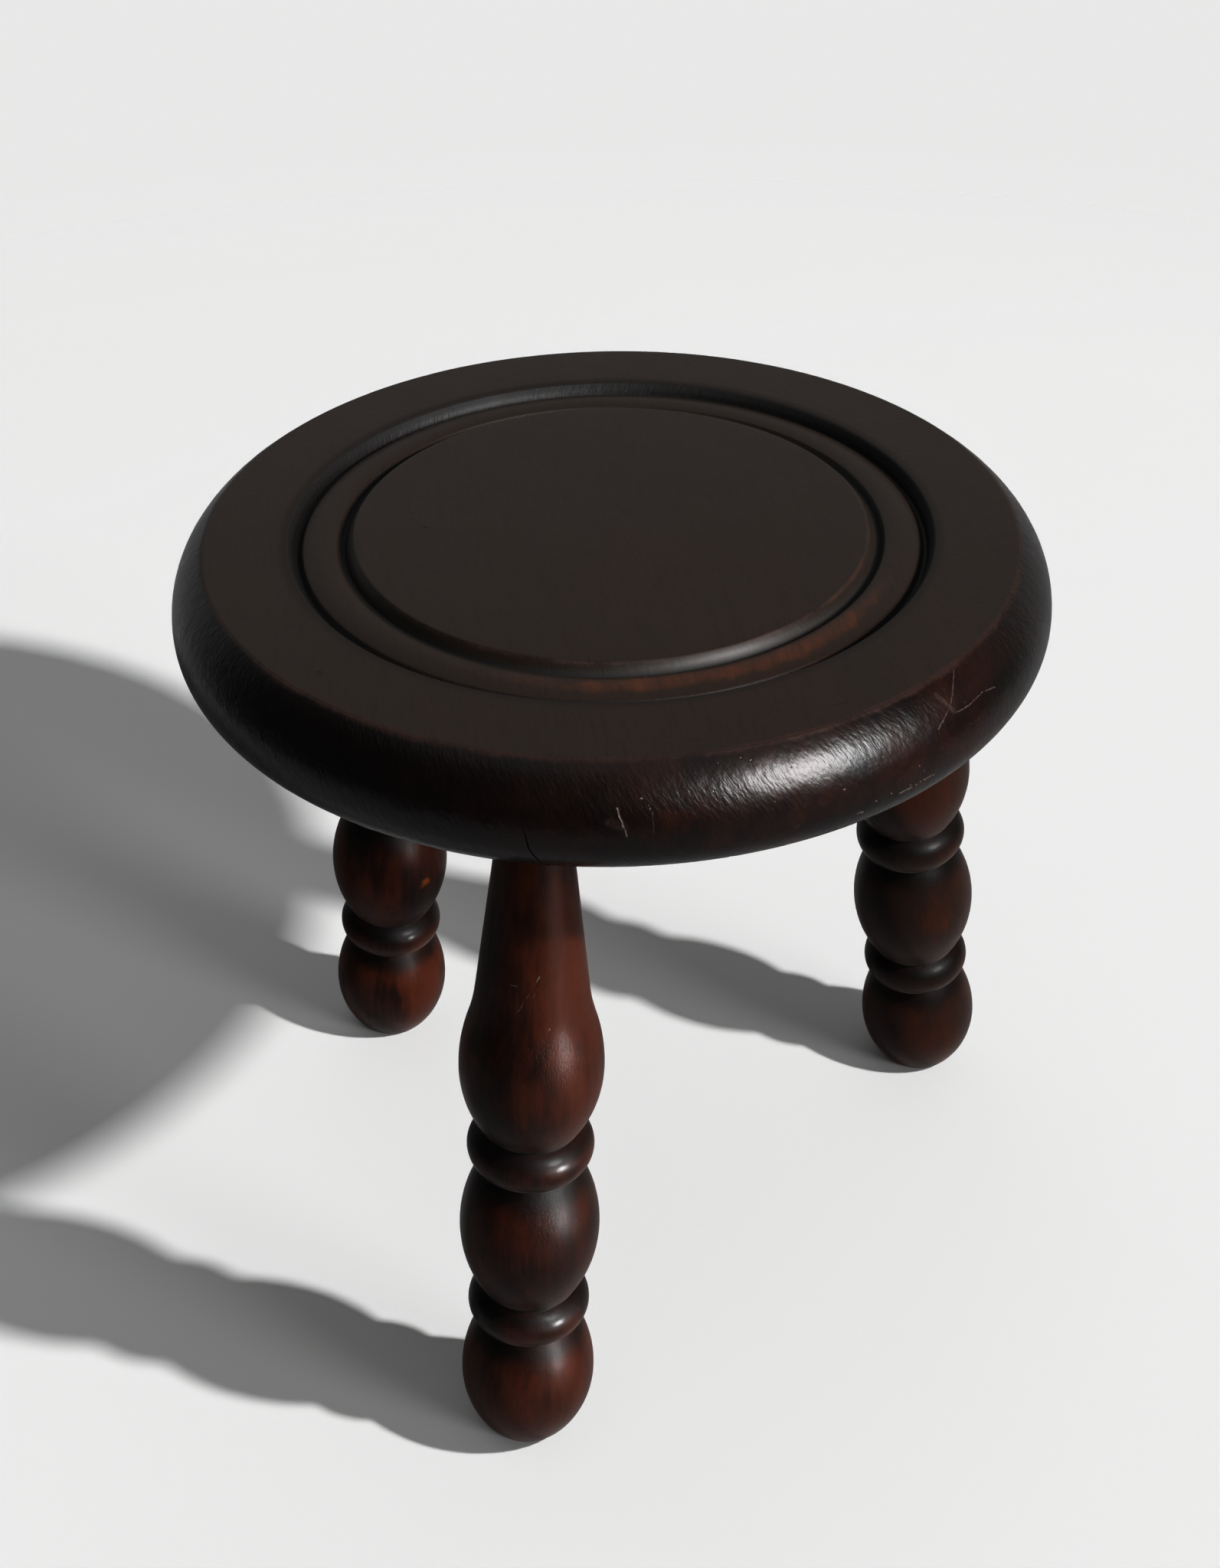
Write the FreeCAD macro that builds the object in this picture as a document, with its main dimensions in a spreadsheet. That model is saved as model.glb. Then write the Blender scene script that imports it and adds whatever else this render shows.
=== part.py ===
import FreeCAD, Part
import enum
import math
import os
import Sketcher

# Tripod stool: a round turned seat on three turned legs, each with a wedged tenon in a blind mortise.
# Millimetres, +Z up, floor at Z = 0, the front leg towards -Y.

SIZES = (
    ("seat_height", 305.0, "floor to the top of the seat"),
    ("seat_radius", 153.2, "seat at the widest place of its rim"),
    ("seat_thickness", 38.5, "seat from underside to top"),
    ("seat_axis_x", -2.95, "seat's axis from the middle of the stool's plan, across"),
    ("seat_axis_y", 5.3, "seat's axis from the middle of the stool's plan, front to back"),
    ("rim_drop", 23.4, "top down to the rim's widest place"),
    ("rim_overhang", 13.2, "rim beyond the edge of the flat top"),
    ("rim_undercut", 15.2, "rim beyond the edge of the underside"),
    ("border_width", 28.3, "flat border between the rim and the moulding"),
    ("border_round", 2.4, "width of the border's rounded inner edge"),
    ("outer_groove_depth", 5.2, "groove beside the border"),
    ("inner_groove_depth", 4.4, "groove beside the middle panel"),
    ("groove_floor", 1.2, "width of each groove's floor"),
    ("bead_width", 11.6, "crown of the raised ring between the grooves"),
    ("bead_height", 2.1, "raised ring's edges above the groove floors"),
    ("bead_side", 1.65, "width of each steep side of the raised ring"),
    ("bead_crown_radius", 20.0, "curve across the raised ring"),
    ("panel_round", 3.4, "width of the middle panel's rounded edge"),
    ("mortise_inset", 39.2, "rim in to a mortise's middle, at the underside"),
    ("mortise_cover", 14.0, "wood left between a mortise and the top"),
    ("tenon_radius", 11.2, "round tenon at the top of each leg"),
    ("tenon_reveal", 3.0, "straight tenon showing below the seat"),
    ("glue_line", 0.1, "glue between a tenon, its wedge and the mortise"),
    ("kerf_depth", 15.0, "saw cut in the end of a tenon"),
    ("wedge_width", 20.0, "wedge across the tenon"),
    ("wedge_butt", 3.0, "thickness of a wedge at its driven end"),
    ("wedge_tip", 1.0, "thickness of a wedge at its leading end"),
    ("foot_end_radius", 8.2, "turned foot at its end, before it is sawn level"),
    ("foot_levelling", 5.0, "length sawn off to level the feet"),
    ("ball_rise", 27.2, "floor up to the widest place of the ball foot"),
    ("ball_radius", 24.5, "ball foot at its widest"),
    ("ball_shoulder", 25.5, "ball's widest place up to the lower bead"),
    ("lower_quirk_radius", 17.2, "notches below and above the lower bead"),
    ("lower_bead_length", 16.7, "lower bead, notch to notch"),
    ("lower_bead_radius", 22.0, "lower bead at its widest"),
    ("barrel_length", 55.1, "barrel between the beads"),
    ("barrel_radius", 24.9, "barrel at its widest"),
    ("upper_quirk_radius", 17.2, "notches below and above the upper bead"),
    ("upper_bead_length", 17.0, "upper bead, notch to notch"),
    ("upper_bead_radius", 22.2, "upper bead at its widest"),
    ("vase_base", 25.5, "upper bead up to the vase's belly"),
    ("belly_radius", 24.8, "vase at its belly"),
    ("vase_shoulder", 31.2, "belly up to the foot of the neck"),
    ("neck_radius", 19.2, "neck at its foot"),
    ("neck_angle", 6.7, "taper of the neck, degrees from the leg's axis"),
    ("front_round_angle", 257.3, "front leg's mortise round the seat, degrees"),
    ("left_round_angle", 139.95, "left leg's mortise round the seat, degrees"),
    ("right_round_angle", 19.35, "right leg's mortise round the seat, degrees"),
    ("front_splay_angle", 7.05, "front leg outwards, degrees from upright"),
    ("left_splay_angle", 4.12, "left leg outwards, degrees from upright"),
    ("right_splay_angle", 7.22, "right leg outwards, degrees from upright"),
    ("front_lean_angle", -0.96, "front leg sideways, degrees from upright"),
    ("left_lean_angle", 1.22, "left leg sideways, degrees from upright"),
    ("right_lean_angle", 1.21, "right leg sideways, degrees from upright"),
)
LEGS = ("front", "left", "right")
SHEET = "Sizes"
GROUND_SPAN = 4
UPRIGHT = "rotation(0; 0; 0)"

LINE = "line"
LEVEL_START = "arc whose centre is level with its start"
LEVEL_END = "arc whose centre is level with its end"
CROWN = "arc of a given radius, bulging upwards"
CYMA = "two equal arcs that swell and then sweep into the neck"

doc = FreeCAD.newDocument("tripod_stool")


class Axis(enum.IntEnum):
    """How a sketch numbers its own axes."""

    LEVEL = -1
    UPRIGHT = -2


class Point(enum.IntEnum):
    """How a sketch numbers the points of an edge."""

    START = 1
    END = 2
    CENTRE = 3


ORIGIN = (Axis.LEVEL, Point.START)


def size(name):
    """The sheet's cell for a driving dimension, as an expression reads it."""
    return f"{SHEET}.{name}"


def value(expression):
    """An expression's number with the sheet as it stands."""
    number = doc.getObject(SHEET).evalExpression(expression)
    return float(getattr(number, "Value", number))


def make_sheet():
    """Spreadsheet of the driving dimensions, one aliased cell each."""
    sheet = doc.addObject("Spreadsheet::Sheet", SHEET)
    for row, (name, number, meaning) in enumerate(SIZES, start=1):
        sheet.set(f"A{row}", meaning)
        sheet.set(f"B{row}", str(number))
        sheet.setAlias(f"B{row}", name)
    doc.recompute()


def new_sketch(body, name, role):
    """Empty sketch on one of the body's own origin planes."""
    sketch = body.newObject("Sketcher::SketchObject", name)
    plane = next(feature for feature in body.Origin.OriginFeatures if feature.Role == role)
    sketch.AttachmentSupport = [(plane, "")]
    sketch.MapMode = "FlatFace"
    return sketch


def hold(sketch, constraint, name, expression):
    """Add a dimension and bind it to an expression of the sheet."""
    index = sketch.addConstraint(constraint)
    sketch.renameConstraint(index, name)
    sketch.setExpression(f"Constraints.{name}", expression)


def arc_about(centre, start, end):
    """The shorter arc from start to end round a centre."""
    middle = (start + end) * 0.5 - centre
    middle.normalize()
    return Part.Arc(start, centre + middle * (start - centre).Length, end)


def level_arc(level, other):
    """Centre of the arc through both points that stands upright at the level one."""
    across = level.x - other.x
    up = other.y - level.y
    radius = (across ** 2 + up ** 2) / (2 * across)
    return FreeCAD.Vector(level.x - radius, level.y, 0)


def crown_centre(start, end, radius):
    """Centre, below the chord, of an arc of the given radius."""
    half = (end - start) * 0.5
    below = FreeCAD.Vector(-half.y, half.x, 0)
    below.normalize()
    return start + half + below * math.sqrt(radius ** 2 - half.Length ** 2)


def cyma_arcs(belly, neck, angle):
    """Two equal tangent arcs, upright at the belly and leaning in by the angle at the neck."""
    across = neck.x - belly.x
    up = neck.y - belly.y
    a = 2 * math.cos(angle) - 2
    b = 2 * (across * (1 + math.cos(angle)) + up * math.sin(angle))
    c = across ** 2 + up ** 2
    radius = 2 * c / (-b + math.sqrt(b * b - 4 * a * c))
    low = FreeCAD.Vector(belly.x - radius, belly.y, 0)
    high = neck + FreeCAD.Vector(math.cos(angle), math.sin(angle), 0) * radius
    meet = (low + high) * 0.5
    return arc_about(low, belly, meet), arc_about(high, meet, neck), high


class HalfOutline:
    """Closed half outline of a turned piece, drawn corner by corner round the sketch's upright axis."""

    def __init__(self, sketch):
        self.sketch = sketch
        self.first = None
        self.last = None
        self.point = None

    def end_of(self, edge, point):
        """Which end of an edge lies at a point."""
        from_start = self.sketch.getPoint(edge, Point.START).distanceToPoint(point)
        from_end = self.sketch.getPoint(edge, Point.END).distanceToPoint(point)
        return Point.START if from_start < from_end else Point.END

    def add(self, curve, start, end):
        """Add an edge and join it to the one before."""
        edge = self.sketch.addGeometry(curve)
        begin = (edge, self.end_of(edge, start))
        if self.last:
            self.sketch.addConstraint(Sketcher.Constraint("Coincident", *self.last, *begin))
        else:
            self.first = begin
        self.last = (edge, self.end_of(edge, end))
        return edge

    def place(self, name, corner, radius, height):
        """Hold a corner at its radius and height."""
        if radius == "0":
            self.sketch.addConstraint(Sketcher.Constraint("PointOnObject", *corner, Axis.UPRIGHT))
        else:
            across = Sketcher.Constraint("DistanceX", *ORIGIN, *corner, value(radius))
            hold(self.sketch, across, f"{name}_radius", radius)
        if height == "0":
            self.sketch.addConstraint(Sketcher.Constraint("PointOnObject", *corner, Axis.LEVEL))
        else:
            up = Sketcher.Constraint("DistanceY", *ORIGIN, *corner, value(height))
            hold(self.sketch, up, f"{name}_height", height)

    def level(self, edge, corner):
        """Keep an arc's centre level with one of its ends."""
        self.sketch.addConstraint(Sketcher.Constraint("Horizontal", edge, Point.CENTRE, *corner))

    def cyma(self, start, end, angle):
        """Swelling and sweeping arcs, with the angle that they reach at the neck."""
        low, high, centre = cyma_arcs(start, end, math.radians(value(angle)))
        first = self.add(low, start, low.EndPoint)
        self.level(first, (first, self.end_of(first, start)))
        belly_end = self.last
        second = self.sketch.addGeometry(high)
        meet = (second, self.end_of(second, high.StartPoint))
        self.last = (second, self.end_of(second, end))
        self.sketch.addConstraint(Sketcher.Constraint("Tangent", *belly_end, *meet))
        self.sketch.addConstraint(Sketcher.Constraint("Equal", first, second))
        spoke = self.sketch.addGeometry(Part.LineSegment(end, centre), True)
        self.sketch.addConstraint(Sketcher.Constraint("Coincident", spoke, Point.START, *self.last))
        self.sketch.addConstraint(Sketcher.Constraint("Coincident", spoke, Point.END, second, Point.CENTRE))
        lean = Sketcher.Constraint("Angle", spoke, math.radians(value(angle)))
        hold(self.sketch, lean, "neck_angle", f"{angle} * 1 deg")

    def edge_to(self, point, kind, extra):
        """Draw the edge from the last corner to the next one."""
        start = self.point
        if kind == LINE:
            self.add(Part.LineSegment(start, point), start, point)
        elif kind == LEVEL_START:
            edge = self.add(arc_about(level_arc(start, point), start, point), start, point)
            self.level(edge, (edge, self.end_of(edge, start)))
        elif kind == LEVEL_END:
            edge = self.add(arc_about(level_arc(point, start), start, point), start, point)
            self.level(edge, self.last)
        elif kind == CROWN:
            radius = value(extra)
            edge = self.add(arc_about(crown_centre(start, point, radius), start, point), start, point)
            hold(self.sketch, Sketcher.Constraint("Radius", edge, radius), "crown_radius", extra)
        else:
            self.cyma(start, point, extra)

    def draw(self, corners):
        """Draw all corners, each (name, radius, height, kind of edge to it, that edge's own size)."""
        points = [FreeCAD.Vector(value(radius), value(height), 0) for _, radius, height, _, _ in corners]
        self.point = points[0]
        ends = []
        for point, (_, _, _, kind, extra) in zip(points[1:], corners[1:]):
            self.edge_to(point, kind, extra)
            ends.append(self.last)
            self.point = point
        self.add(Part.LineSegment(points[-1], points[0]), points[-1], points[0])
        self.sketch.addConstraint(Sketcher.Constraint("Coincident", *self.last, *self.first))
        for corner, (name, radius, height, _, _) in zip([self.first] + ends, corners):
            self.place(name, corner, radius, height)


def turned_body(name, corners):
    """Body turned from a half outline."""
    body = doc.addObject("PartDesign::Body", name)
    sketch = new_sketch(body, f"{name}_outline", "XZ_Plane")
    HalfOutline(sketch).draw(corners)
    turning = body.newObject("PartDesign::Revolution", f"{name}_turning")
    turning.Profile = sketch
    turning.ReferenceAxis = (sketch, ["V_Axis"])
    turning.Angle = 360.0
    sketch.Visibility = False
    doc.recompute()
    return body


def seat_corners():
    """Seat outline from the underside round the rim to the moulding on top; height 0 is the underside."""
    top = size("seat_thickness")
    rim = size("seat_radius")
    flat_edge = f"{rim} - {size('rim_overhang')}"
    border_edge = f"{flat_edge} - {size('border_width')}"
    outer_floor = f"{border_edge} - {size('border_round')}"
    bead_foot_out = f"{outer_floor} - {size('groove_floor')}"
    bead_out = f"{bead_foot_out} - {size('bead_side')}"
    bead_in = f"{bead_out} - {size('bead_width')}"
    bead_foot_in = f"{bead_in} - {size('bead_side')}"
    inner_floor = f"{bead_foot_in} - {size('groove_floor')}"
    panel_edge = f"{inner_floor} - {size('panel_round')}"
    outer_bottom = f"{top} - {size('outer_groove_depth')}"
    inner_bottom = f"{top} - {size('inner_groove_depth')}"
    return (
        ("underside_middle", "0", "0", LINE, None),
        ("underside_edge", f"{rim} - {size('rim_undercut')}", "0", LINE, None),
        ("rim", rim, f"{top} - {size('rim_drop')}", LEVEL_END, None),
        ("flat_edge", flat_edge, top, LEVEL_START, None),
        ("border_edge", border_edge, top, LINE, None),
        ("outer_floor", outer_floor, outer_bottom, LEVEL_END, None),
        ("bead_foot_out", bead_foot_out, outer_bottom, LINE, None),
        ("bead_out", bead_out, f"{outer_bottom} + {size('bead_height')}", LINE, None),
        ("bead_in", bead_in, f"{inner_bottom} + {size('bead_height')}", CROWN, size("bead_crown_radius")),
        ("bead_foot_in", bead_foot_in, inner_bottom, LINE, None),
        ("inner_floor", inner_floor, inner_bottom, LINE, None),
        ("panel_edge", panel_edge, top, LEVEL_START, None),
        ("top_middle", "0", top, LINE, None),
    )


class LegPlace:
    """Where one leg stands: its tilt, its lengths along the axis and its placement."""

    def __init__(self, leg):
        azimuth = size(f"{leg}_round_angle")
        splay = size(f"{leg}_splay_angle")
        lean = size(f"{leg}_lean_angle")
        slope = f"(cos({splay} * 1 deg) * cos({lean} * 1 deg))"
        underside = f"({size('seat_height')} - {size('seat_thickness')})"
        circle = f"({size('seat_radius')} - {size('mortise_inset')})"
        across = f"{size('seat_axis_x')} + {circle} * cos({azimuth} * 1 deg)"
        along = f"{size('seat_axis_y')} + {circle} * sin({azimuth} * 1 deg)"
        self.reach = f"{underside} / {slope}"
        self.depth = f"({size('seat_thickness')} - {size('mortise_cover')}) / {slope}"
        self.tenon_end = f"{self.depth} - {size('glue_line')}"
        self.placement = (
            f"placement(vector({across}; {along}; {underside}); rotation({azimuth}; -{splay}; {lean}))"
        )


def leg_corners(place):
    """Leg outline from the foot up; height 0 is where the axis meets the seat's underside."""
    floor = f"-{place.reach}"
    ball = f"{floor} + {size('ball_rise')}"
    notch = [f"{ball} + {size('ball_shoulder')}"]
    for length in ("lower_bead_length", "barrel_length", "upper_bead_length"):
        notch.append(f"{notch[-1]} + {size(length)}")
    belly = f"{notch[-1]} + {size('vase_base')}"
    foot_end = f"{floor} - {size('foot_levelling')}"
    lower_bead = f"{notch[0]} + {size('lower_bead_length')} / 2"
    barrel = f"{notch[1]} + {size('barrel_length')} / 2"
    upper_bead = f"{notch[2]} + {size('upper_bead_length')} / 2"
    neck = f"{belly} + {size('vase_shoulder')}"
    lower = size("lower_quirk_radius")
    upper = size("upper_quirk_radius")
    tenon = size("tenon_radius")
    return (
        ("foot_middle", "0", foot_end, LINE, None),
        ("foot_end", size("foot_end_radius"), foot_end, LINE, None),
        ("ball", size("ball_radius"), ball, LEVEL_END, None),
        ("ball_notch", lower, notch[0], LEVEL_START, None),
        ("lower_bead", size("lower_bead_radius"), lower_bead, LEVEL_END, None),
        ("lower_notch", lower, notch[1], LEVEL_START, None),
        ("barrel", size("barrel_radius"), barrel, LEVEL_END, None),
        ("barrel_notch", upper, notch[2], LEVEL_START, None),
        ("upper_bead", size("upper_bead_radius"), upper_bead, LEVEL_END, None),
        ("upper_notch", upper, notch[3], LEVEL_START, None),
        ("belly", size("belly_radius"), belly, LEVEL_END, None),
        ("neck", size("neck_radius"), neck, CYMA, size("neck_angle")),
        ("tenon_start", tenon, f"-{size('tenon_reveal')}", LINE, None),
        ("tenon_end", tenon, place.tenon_end, LINE, None),
        ("tenon_middle", "0", place.tenon_end, LINE, None),
    )


def wedge_outline(body, name, place, clearance):
    """Sketch of a wedge's taper, with its butt at the tenon's end and room on both flanks."""
    sketch = new_sketch(body, name, "YZ_Plane")
    butt = f"{size('wedge_butt')} + 2 * {clearance}"
    tip = f"{size('wedge_tip')} + 2 * {clearance}"
    end = place.tenon_end
    root = f"{end} - {size('kerf_depth')}"
    rows = ((tip, root), (butt, end))
    corners = [
        FreeCAD.Vector(side * value(width) / 2, value(height), 0)
        for (width, height), sides in zip(rows, ((-1, 1), (1, -1)))
        for side in sides
    ]
    edges = [
        sketch.addGeometry(Part.LineSegment(start, corners[(number + 1) % len(corners)]))
        for number, start in enumerate(corners)
    ]
    for number, edge in enumerate(edges):
        following = edges[(number + 1) % len(edges)]
        sketch.addConstraint(Sketcher.Constraint("Coincident", edge, Point.END, following, Point.START))
    tip_left, tip_right = (edges[0], Point.START), (edges[0], Point.END)
    butt_right, butt_left = (edges[2], Point.START), (edges[2], Point.END)
    sketch.addConstraint(Sketcher.Constraint("Symmetric", *tip_left, *tip_right, Axis.UPRIGHT))
    sketch.addConstraint(Sketcher.Constraint("Symmetric", *butt_left, *butt_right, Axis.UPRIGHT))
    hold(sketch, Sketcher.Constraint("DistanceX", *tip_left, *tip_right, value(tip)), "tip", tip)
    hold(sketch, Sketcher.Constraint("DistanceX", *butt_left, *butt_right, value(butt)), "butt", butt)
    hold(sketch, Sketcher.Constraint("DistanceY", *ORIGIN, *tip_left, value(root)), "root", root)
    hold(sketch, Sketcher.Constraint("DistanceY", *ORIGIN, *butt_right, value(end)), "end", end)
    return sketch


def make_seat(places):
    """Turned seat with a blind mortise bored for each leg."""
    blank = turned_body("seat_blank", seat_corners())
    underside = f"{size('seat_height')} - {size('seat_thickness')}"
    middle = f"vector({size('seat_axis_x')}; {size('seat_axis_y')}; {underside})"
    blank.setExpression("Placement", f"placement({middle}; {UPRIGHT})")
    seat = blank
    for leg, leg_place in places.items():
        bit = doc.addObject("Part::Cylinder", f"mortise_{leg}")
        bit.setExpression("Radius", f"{size('tenon_radius')} + {size('glue_line')}")
        # The bit starts a radius below the underside, so that its tilted end is clear of the wood.
        start = f"({size('tenon_radius')} + {size('tenon_reveal')})"
        bit.setExpression("Height", f"{leg_place.depth} + {start}")
        below = f"placement(vector(0; 0; -{start}); {UPRIGHT})"
        bit.setExpression("Placement", f"{leg_place.placement} * {below}")
        bored = doc.addObject("Part::Cut", f"seat_bored_{leg}")
        bored.Base = seat
        bored.Tool = bit
        seat = bored
    seat.Label = "seat"
    return seat


def make_leg(leg, place, ground):
    """Turned leg with a kerf in its tenon and its foot sawn level with the floor."""
    blank = turned_body(f"leg_{leg}_blank", leg_corners(place))
    blank.setExpression("Placement", place.placement)
    whole = blank.Shape.Volume
    kerf = blank.newObject("PartDesign::Pocket", f"leg_{leg}_kerf")
    kerf.Profile = wedge_outline(blank, f"leg_{leg}_kerf_outline", place, size("glue_line"))
    kerf.Type = "ThroughAll"
    kerf.Midplane = True
    doc.recompute()
    if blank.Shape.Volume >= whole:
        raise RuntimeError(f"the kerf of leg_{leg} cuts nothing")
    levelled = doc.addObject("Part::Cut", f"leg_{leg}_levelled")
    levelled.Base = blank
    levelled.Tool = ground
    levelled.Label = f"leg_{leg}"
    return levelled


def make_wedge(leg, place):
    """Wedge driven into a tenon's kerf by the floor of its mortise."""
    wedge = doc.addObject("PartDesign::Body", f"wedge_{leg}")
    pad = wedge.newObject("PartDesign::Pad", f"wedge_{leg}_pad")
    pad.Profile = wedge_outline(wedge, f"wedge_{leg}_outline", place, "0")
    pad.Midplane = True
    pad.setExpression("Length", size("wedge_width"))
    wedge.setExpression("Placement", place.placement)
    wedge.Label = f"wedge_{leg}"
    return wedge


def make_ground():
    """Block under the floor that levels the feet, a few seat radii across."""
    ground = doc.addObject("Part::Box", "ground")
    span = f"{GROUND_SPAN} * {size('seat_radius')}"
    corner = f"vector(-{span} / 2; -{span} / 2; -{size('seat_height')})"
    ground.setExpression("Length", span)
    ground.setExpression("Width", span)
    ground.setExpression("Height", size("seat_height"))
    ground.setExpression("Placement", f"placement({corner}; {UPRIGHT})")
    return ground


def check_and_export(pieces):
    """Stop at any failed object, then write one STEP file for each piece."""
    for item in doc.Objects:
        if {"Invalid", "Error"} & set(item.State):
            raise RuntimeError(f"{item.Name} failed: {item.State}")
    os.makedirs("parts", exist_ok=True)
    for piece in pieces:
        if piece.Shape.isNull() or not piece.Shape.isValid():
            raise RuntimeError(f"{piece.Label} has no valid shape")
        piece.Shape.exportStep(f"parts/{piece.Label}.step")
        box = piece.Shape.BoundBox
        print(f"{piece.Label}: {len(piece.Shape.Solids)} solid, {piece.Shape.Volume:.0f} mm3, "
              f"X {box.XMin:.1f} to {box.XMax:.1f}, Y {box.YMin:.1f} to {box.YMax:.1f}, "
              f"Z {box.ZMin:.1f} to {box.ZMax:.1f}")


def main():
    make_sheet()
    places = {leg: LegPlace(leg) for leg in LEGS}
    ground = make_ground()
    pieces = [make_seat(places)]
    for leg, place in places.items():
        pieces.append(make_leg(leg, place, ground))
        pieces.append(make_wedge(leg, place))
    doc.recompute()
    check_and_export(pieces)


main()
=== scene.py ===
import math

import bmesh
import bpy
import numpy as np
from bpy.props import FloatProperty, FloatVectorProperty, IntProperty, PointerProperty
from mathutils import Matrix, Vector


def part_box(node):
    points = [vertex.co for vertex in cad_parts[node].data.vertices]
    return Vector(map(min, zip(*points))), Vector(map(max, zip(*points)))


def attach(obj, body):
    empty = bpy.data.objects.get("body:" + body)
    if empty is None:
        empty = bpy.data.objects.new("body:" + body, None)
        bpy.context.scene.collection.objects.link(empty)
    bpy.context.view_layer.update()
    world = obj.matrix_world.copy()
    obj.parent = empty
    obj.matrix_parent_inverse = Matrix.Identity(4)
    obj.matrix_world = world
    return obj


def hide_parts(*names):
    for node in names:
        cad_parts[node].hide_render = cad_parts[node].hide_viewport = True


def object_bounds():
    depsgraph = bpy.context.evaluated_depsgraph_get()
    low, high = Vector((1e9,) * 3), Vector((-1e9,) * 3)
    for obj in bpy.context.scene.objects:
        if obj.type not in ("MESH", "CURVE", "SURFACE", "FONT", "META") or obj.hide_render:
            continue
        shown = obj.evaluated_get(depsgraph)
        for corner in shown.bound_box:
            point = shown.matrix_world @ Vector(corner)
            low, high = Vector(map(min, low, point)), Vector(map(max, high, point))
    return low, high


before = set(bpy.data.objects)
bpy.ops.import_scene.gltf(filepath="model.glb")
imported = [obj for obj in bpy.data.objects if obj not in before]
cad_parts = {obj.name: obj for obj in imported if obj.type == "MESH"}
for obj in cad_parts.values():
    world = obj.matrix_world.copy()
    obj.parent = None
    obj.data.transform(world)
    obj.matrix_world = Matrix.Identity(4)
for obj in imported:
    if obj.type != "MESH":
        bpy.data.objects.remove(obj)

bl_info = {
    "name": "Tripod stool",
    "version": (1, 0, 0),
    "blender": (4, 5, 0),
    "location": "View3D > Sidebar > Stool",
    "description": "Turns the stool's seat and legs, gives them worn dark polish and sets a small studio",
    "category": "Add Mesh",
}

CAD_BOX = [list(corner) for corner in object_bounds()]
SEAT_LOW, SEAT_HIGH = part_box("seat")
SEAT_AXIS = (SEAT_LOW + SEAT_HIGH) / 2
SEAT_RADIUS = (SEAT_HIGH.x - SEAT_LOW.x) / 2
SEAT_THICKNESS = SEAT_HIGH.z - SEAT_LOW.z
MM = 0.001
DEGREE = math.pi / 180

# Each leg: angle round the seat, splay outwards and lean sideways, in degrees.
LEG_ANGLES = {
    "leg_front": (257.3, 7.05, -0.96),
    "leg_left": (139.95, 4.12, 1.22),
    "leg_right": (19.35, 7.22, 1.21),
}

# How much of the red shows in each leg's polish; below 1 the polish turns towards the brown tint, which is
# partly the leg's own colour and partly a painted sheen.
LEG_WARMTH = {"leg_front": 1.0, "leg_left": 1.2, "leg_right": 0.55}

# The bare patch in a leg's polish: the leg, the angle round it in degrees, the depth under the seat in
# millimetres, then its half width in degrees and its half height in millimetres.
BARE_PATCH = ("leg_left", 172.0, 169.5, 12.0, 4.4)

# The split in the front of the rim, from its upper end to the underside: angle round the seat in degrees,
# height below the top and opening, in millimetres.
SPLIT = (
    (-100.5, 13.0, 0.0),
    (-100.35, 17.0, 0.26),
    (-99.9, 20.4, 0.42),
    (-99.6, 25.0, 0.5),
    (-98.6, 31.0, 0.6),
    (-98.1, 36.0, 0.65),
    (-98.0, 40.0, 0.65),
)
LEAST_OPENING = 0.02
FULL_OPENING = 0.5

# The blade that cuts the split stands out of the rim by this much, and is wider there by this factor.
BLADE_REACH = 0.002
BLADE_FLARE = 1.4

# Wear round the seat: angle of its middle and half width in degrees, and the least that shows elsewhere.
RING_WEAR = (-66, 50, 0.12)
THIN_POLISH = (-64, 28, 0.15)

# Chips low on the rim: angle of their middle and half width in degrees, depth below the top and half height
# in millimetres, and the share of the polish that is chipped there.
CHIPS = (-55, 6, 25.3, 2.0, 0.5)

# How far in from its widest place the rim's outline counts as the rim.
RIM_BAND = 0.016

# How far the lathe's wobble moves the surface, as a share of the radius, and its turns in a metre of height.
SEAT_WOBBLE = 0.0004
LEG_WOBBLE = 0.003
WOBBLE_PITCH = 9

# The seat's grain runs from front to back, as its split does, turned by this angle in degrees.
SEAT_GRAIN_TURN = -8

# Where in the grain's pattern the seat lies, and how far each leg lies from the one before it.
SEAT_GRAIN_PLACE = (0.3, 0.1, 0.7)
LEG_GRAIN_STEP = (0.37, 0.21, 0.53)

# How far in from the outer groove's floor the raised ring is worn most, and how far the wear reaches.
RING_WORN_IN = 0.01
RING_WORN_REACH = 0.0055

# The paper lies this far under the feet, so that no two faces share a place.
PAPER_DROP = 0.0001

# The key lamp's light is evened out over the floor for rays that are steeper than this.
LEAST_SLOPE = 0.15

STOOL_MIDDLE = Vector((0, 0, SEAT_HIGH.z / 2))


def length(name, default, description):
    """A size in metres that the sidebar shows as a length."""
    return FloatProperty(
        name=name, description=description, default=default, precision=5, unit="LENGTH", subtype="DISTANCE"
    )


def angle(name, degrees, description):
    """An angle, given in degrees."""
    return FloatProperty(name=name, description=description, default=degrees * DEGREE, subtype="ANGLE")


def tint(name, default, description):
    """A linear colour of a finish."""
    return FloatVectorProperty(
        name=name, description=description, default=default, size=3, min=0, max=1, subtype="COLOR"
    )


def amount(name, default, description):
    """A plain number from nought up."""
    return FloatProperty(name=name, description=description, default=default, min=0, precision=3)


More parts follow.
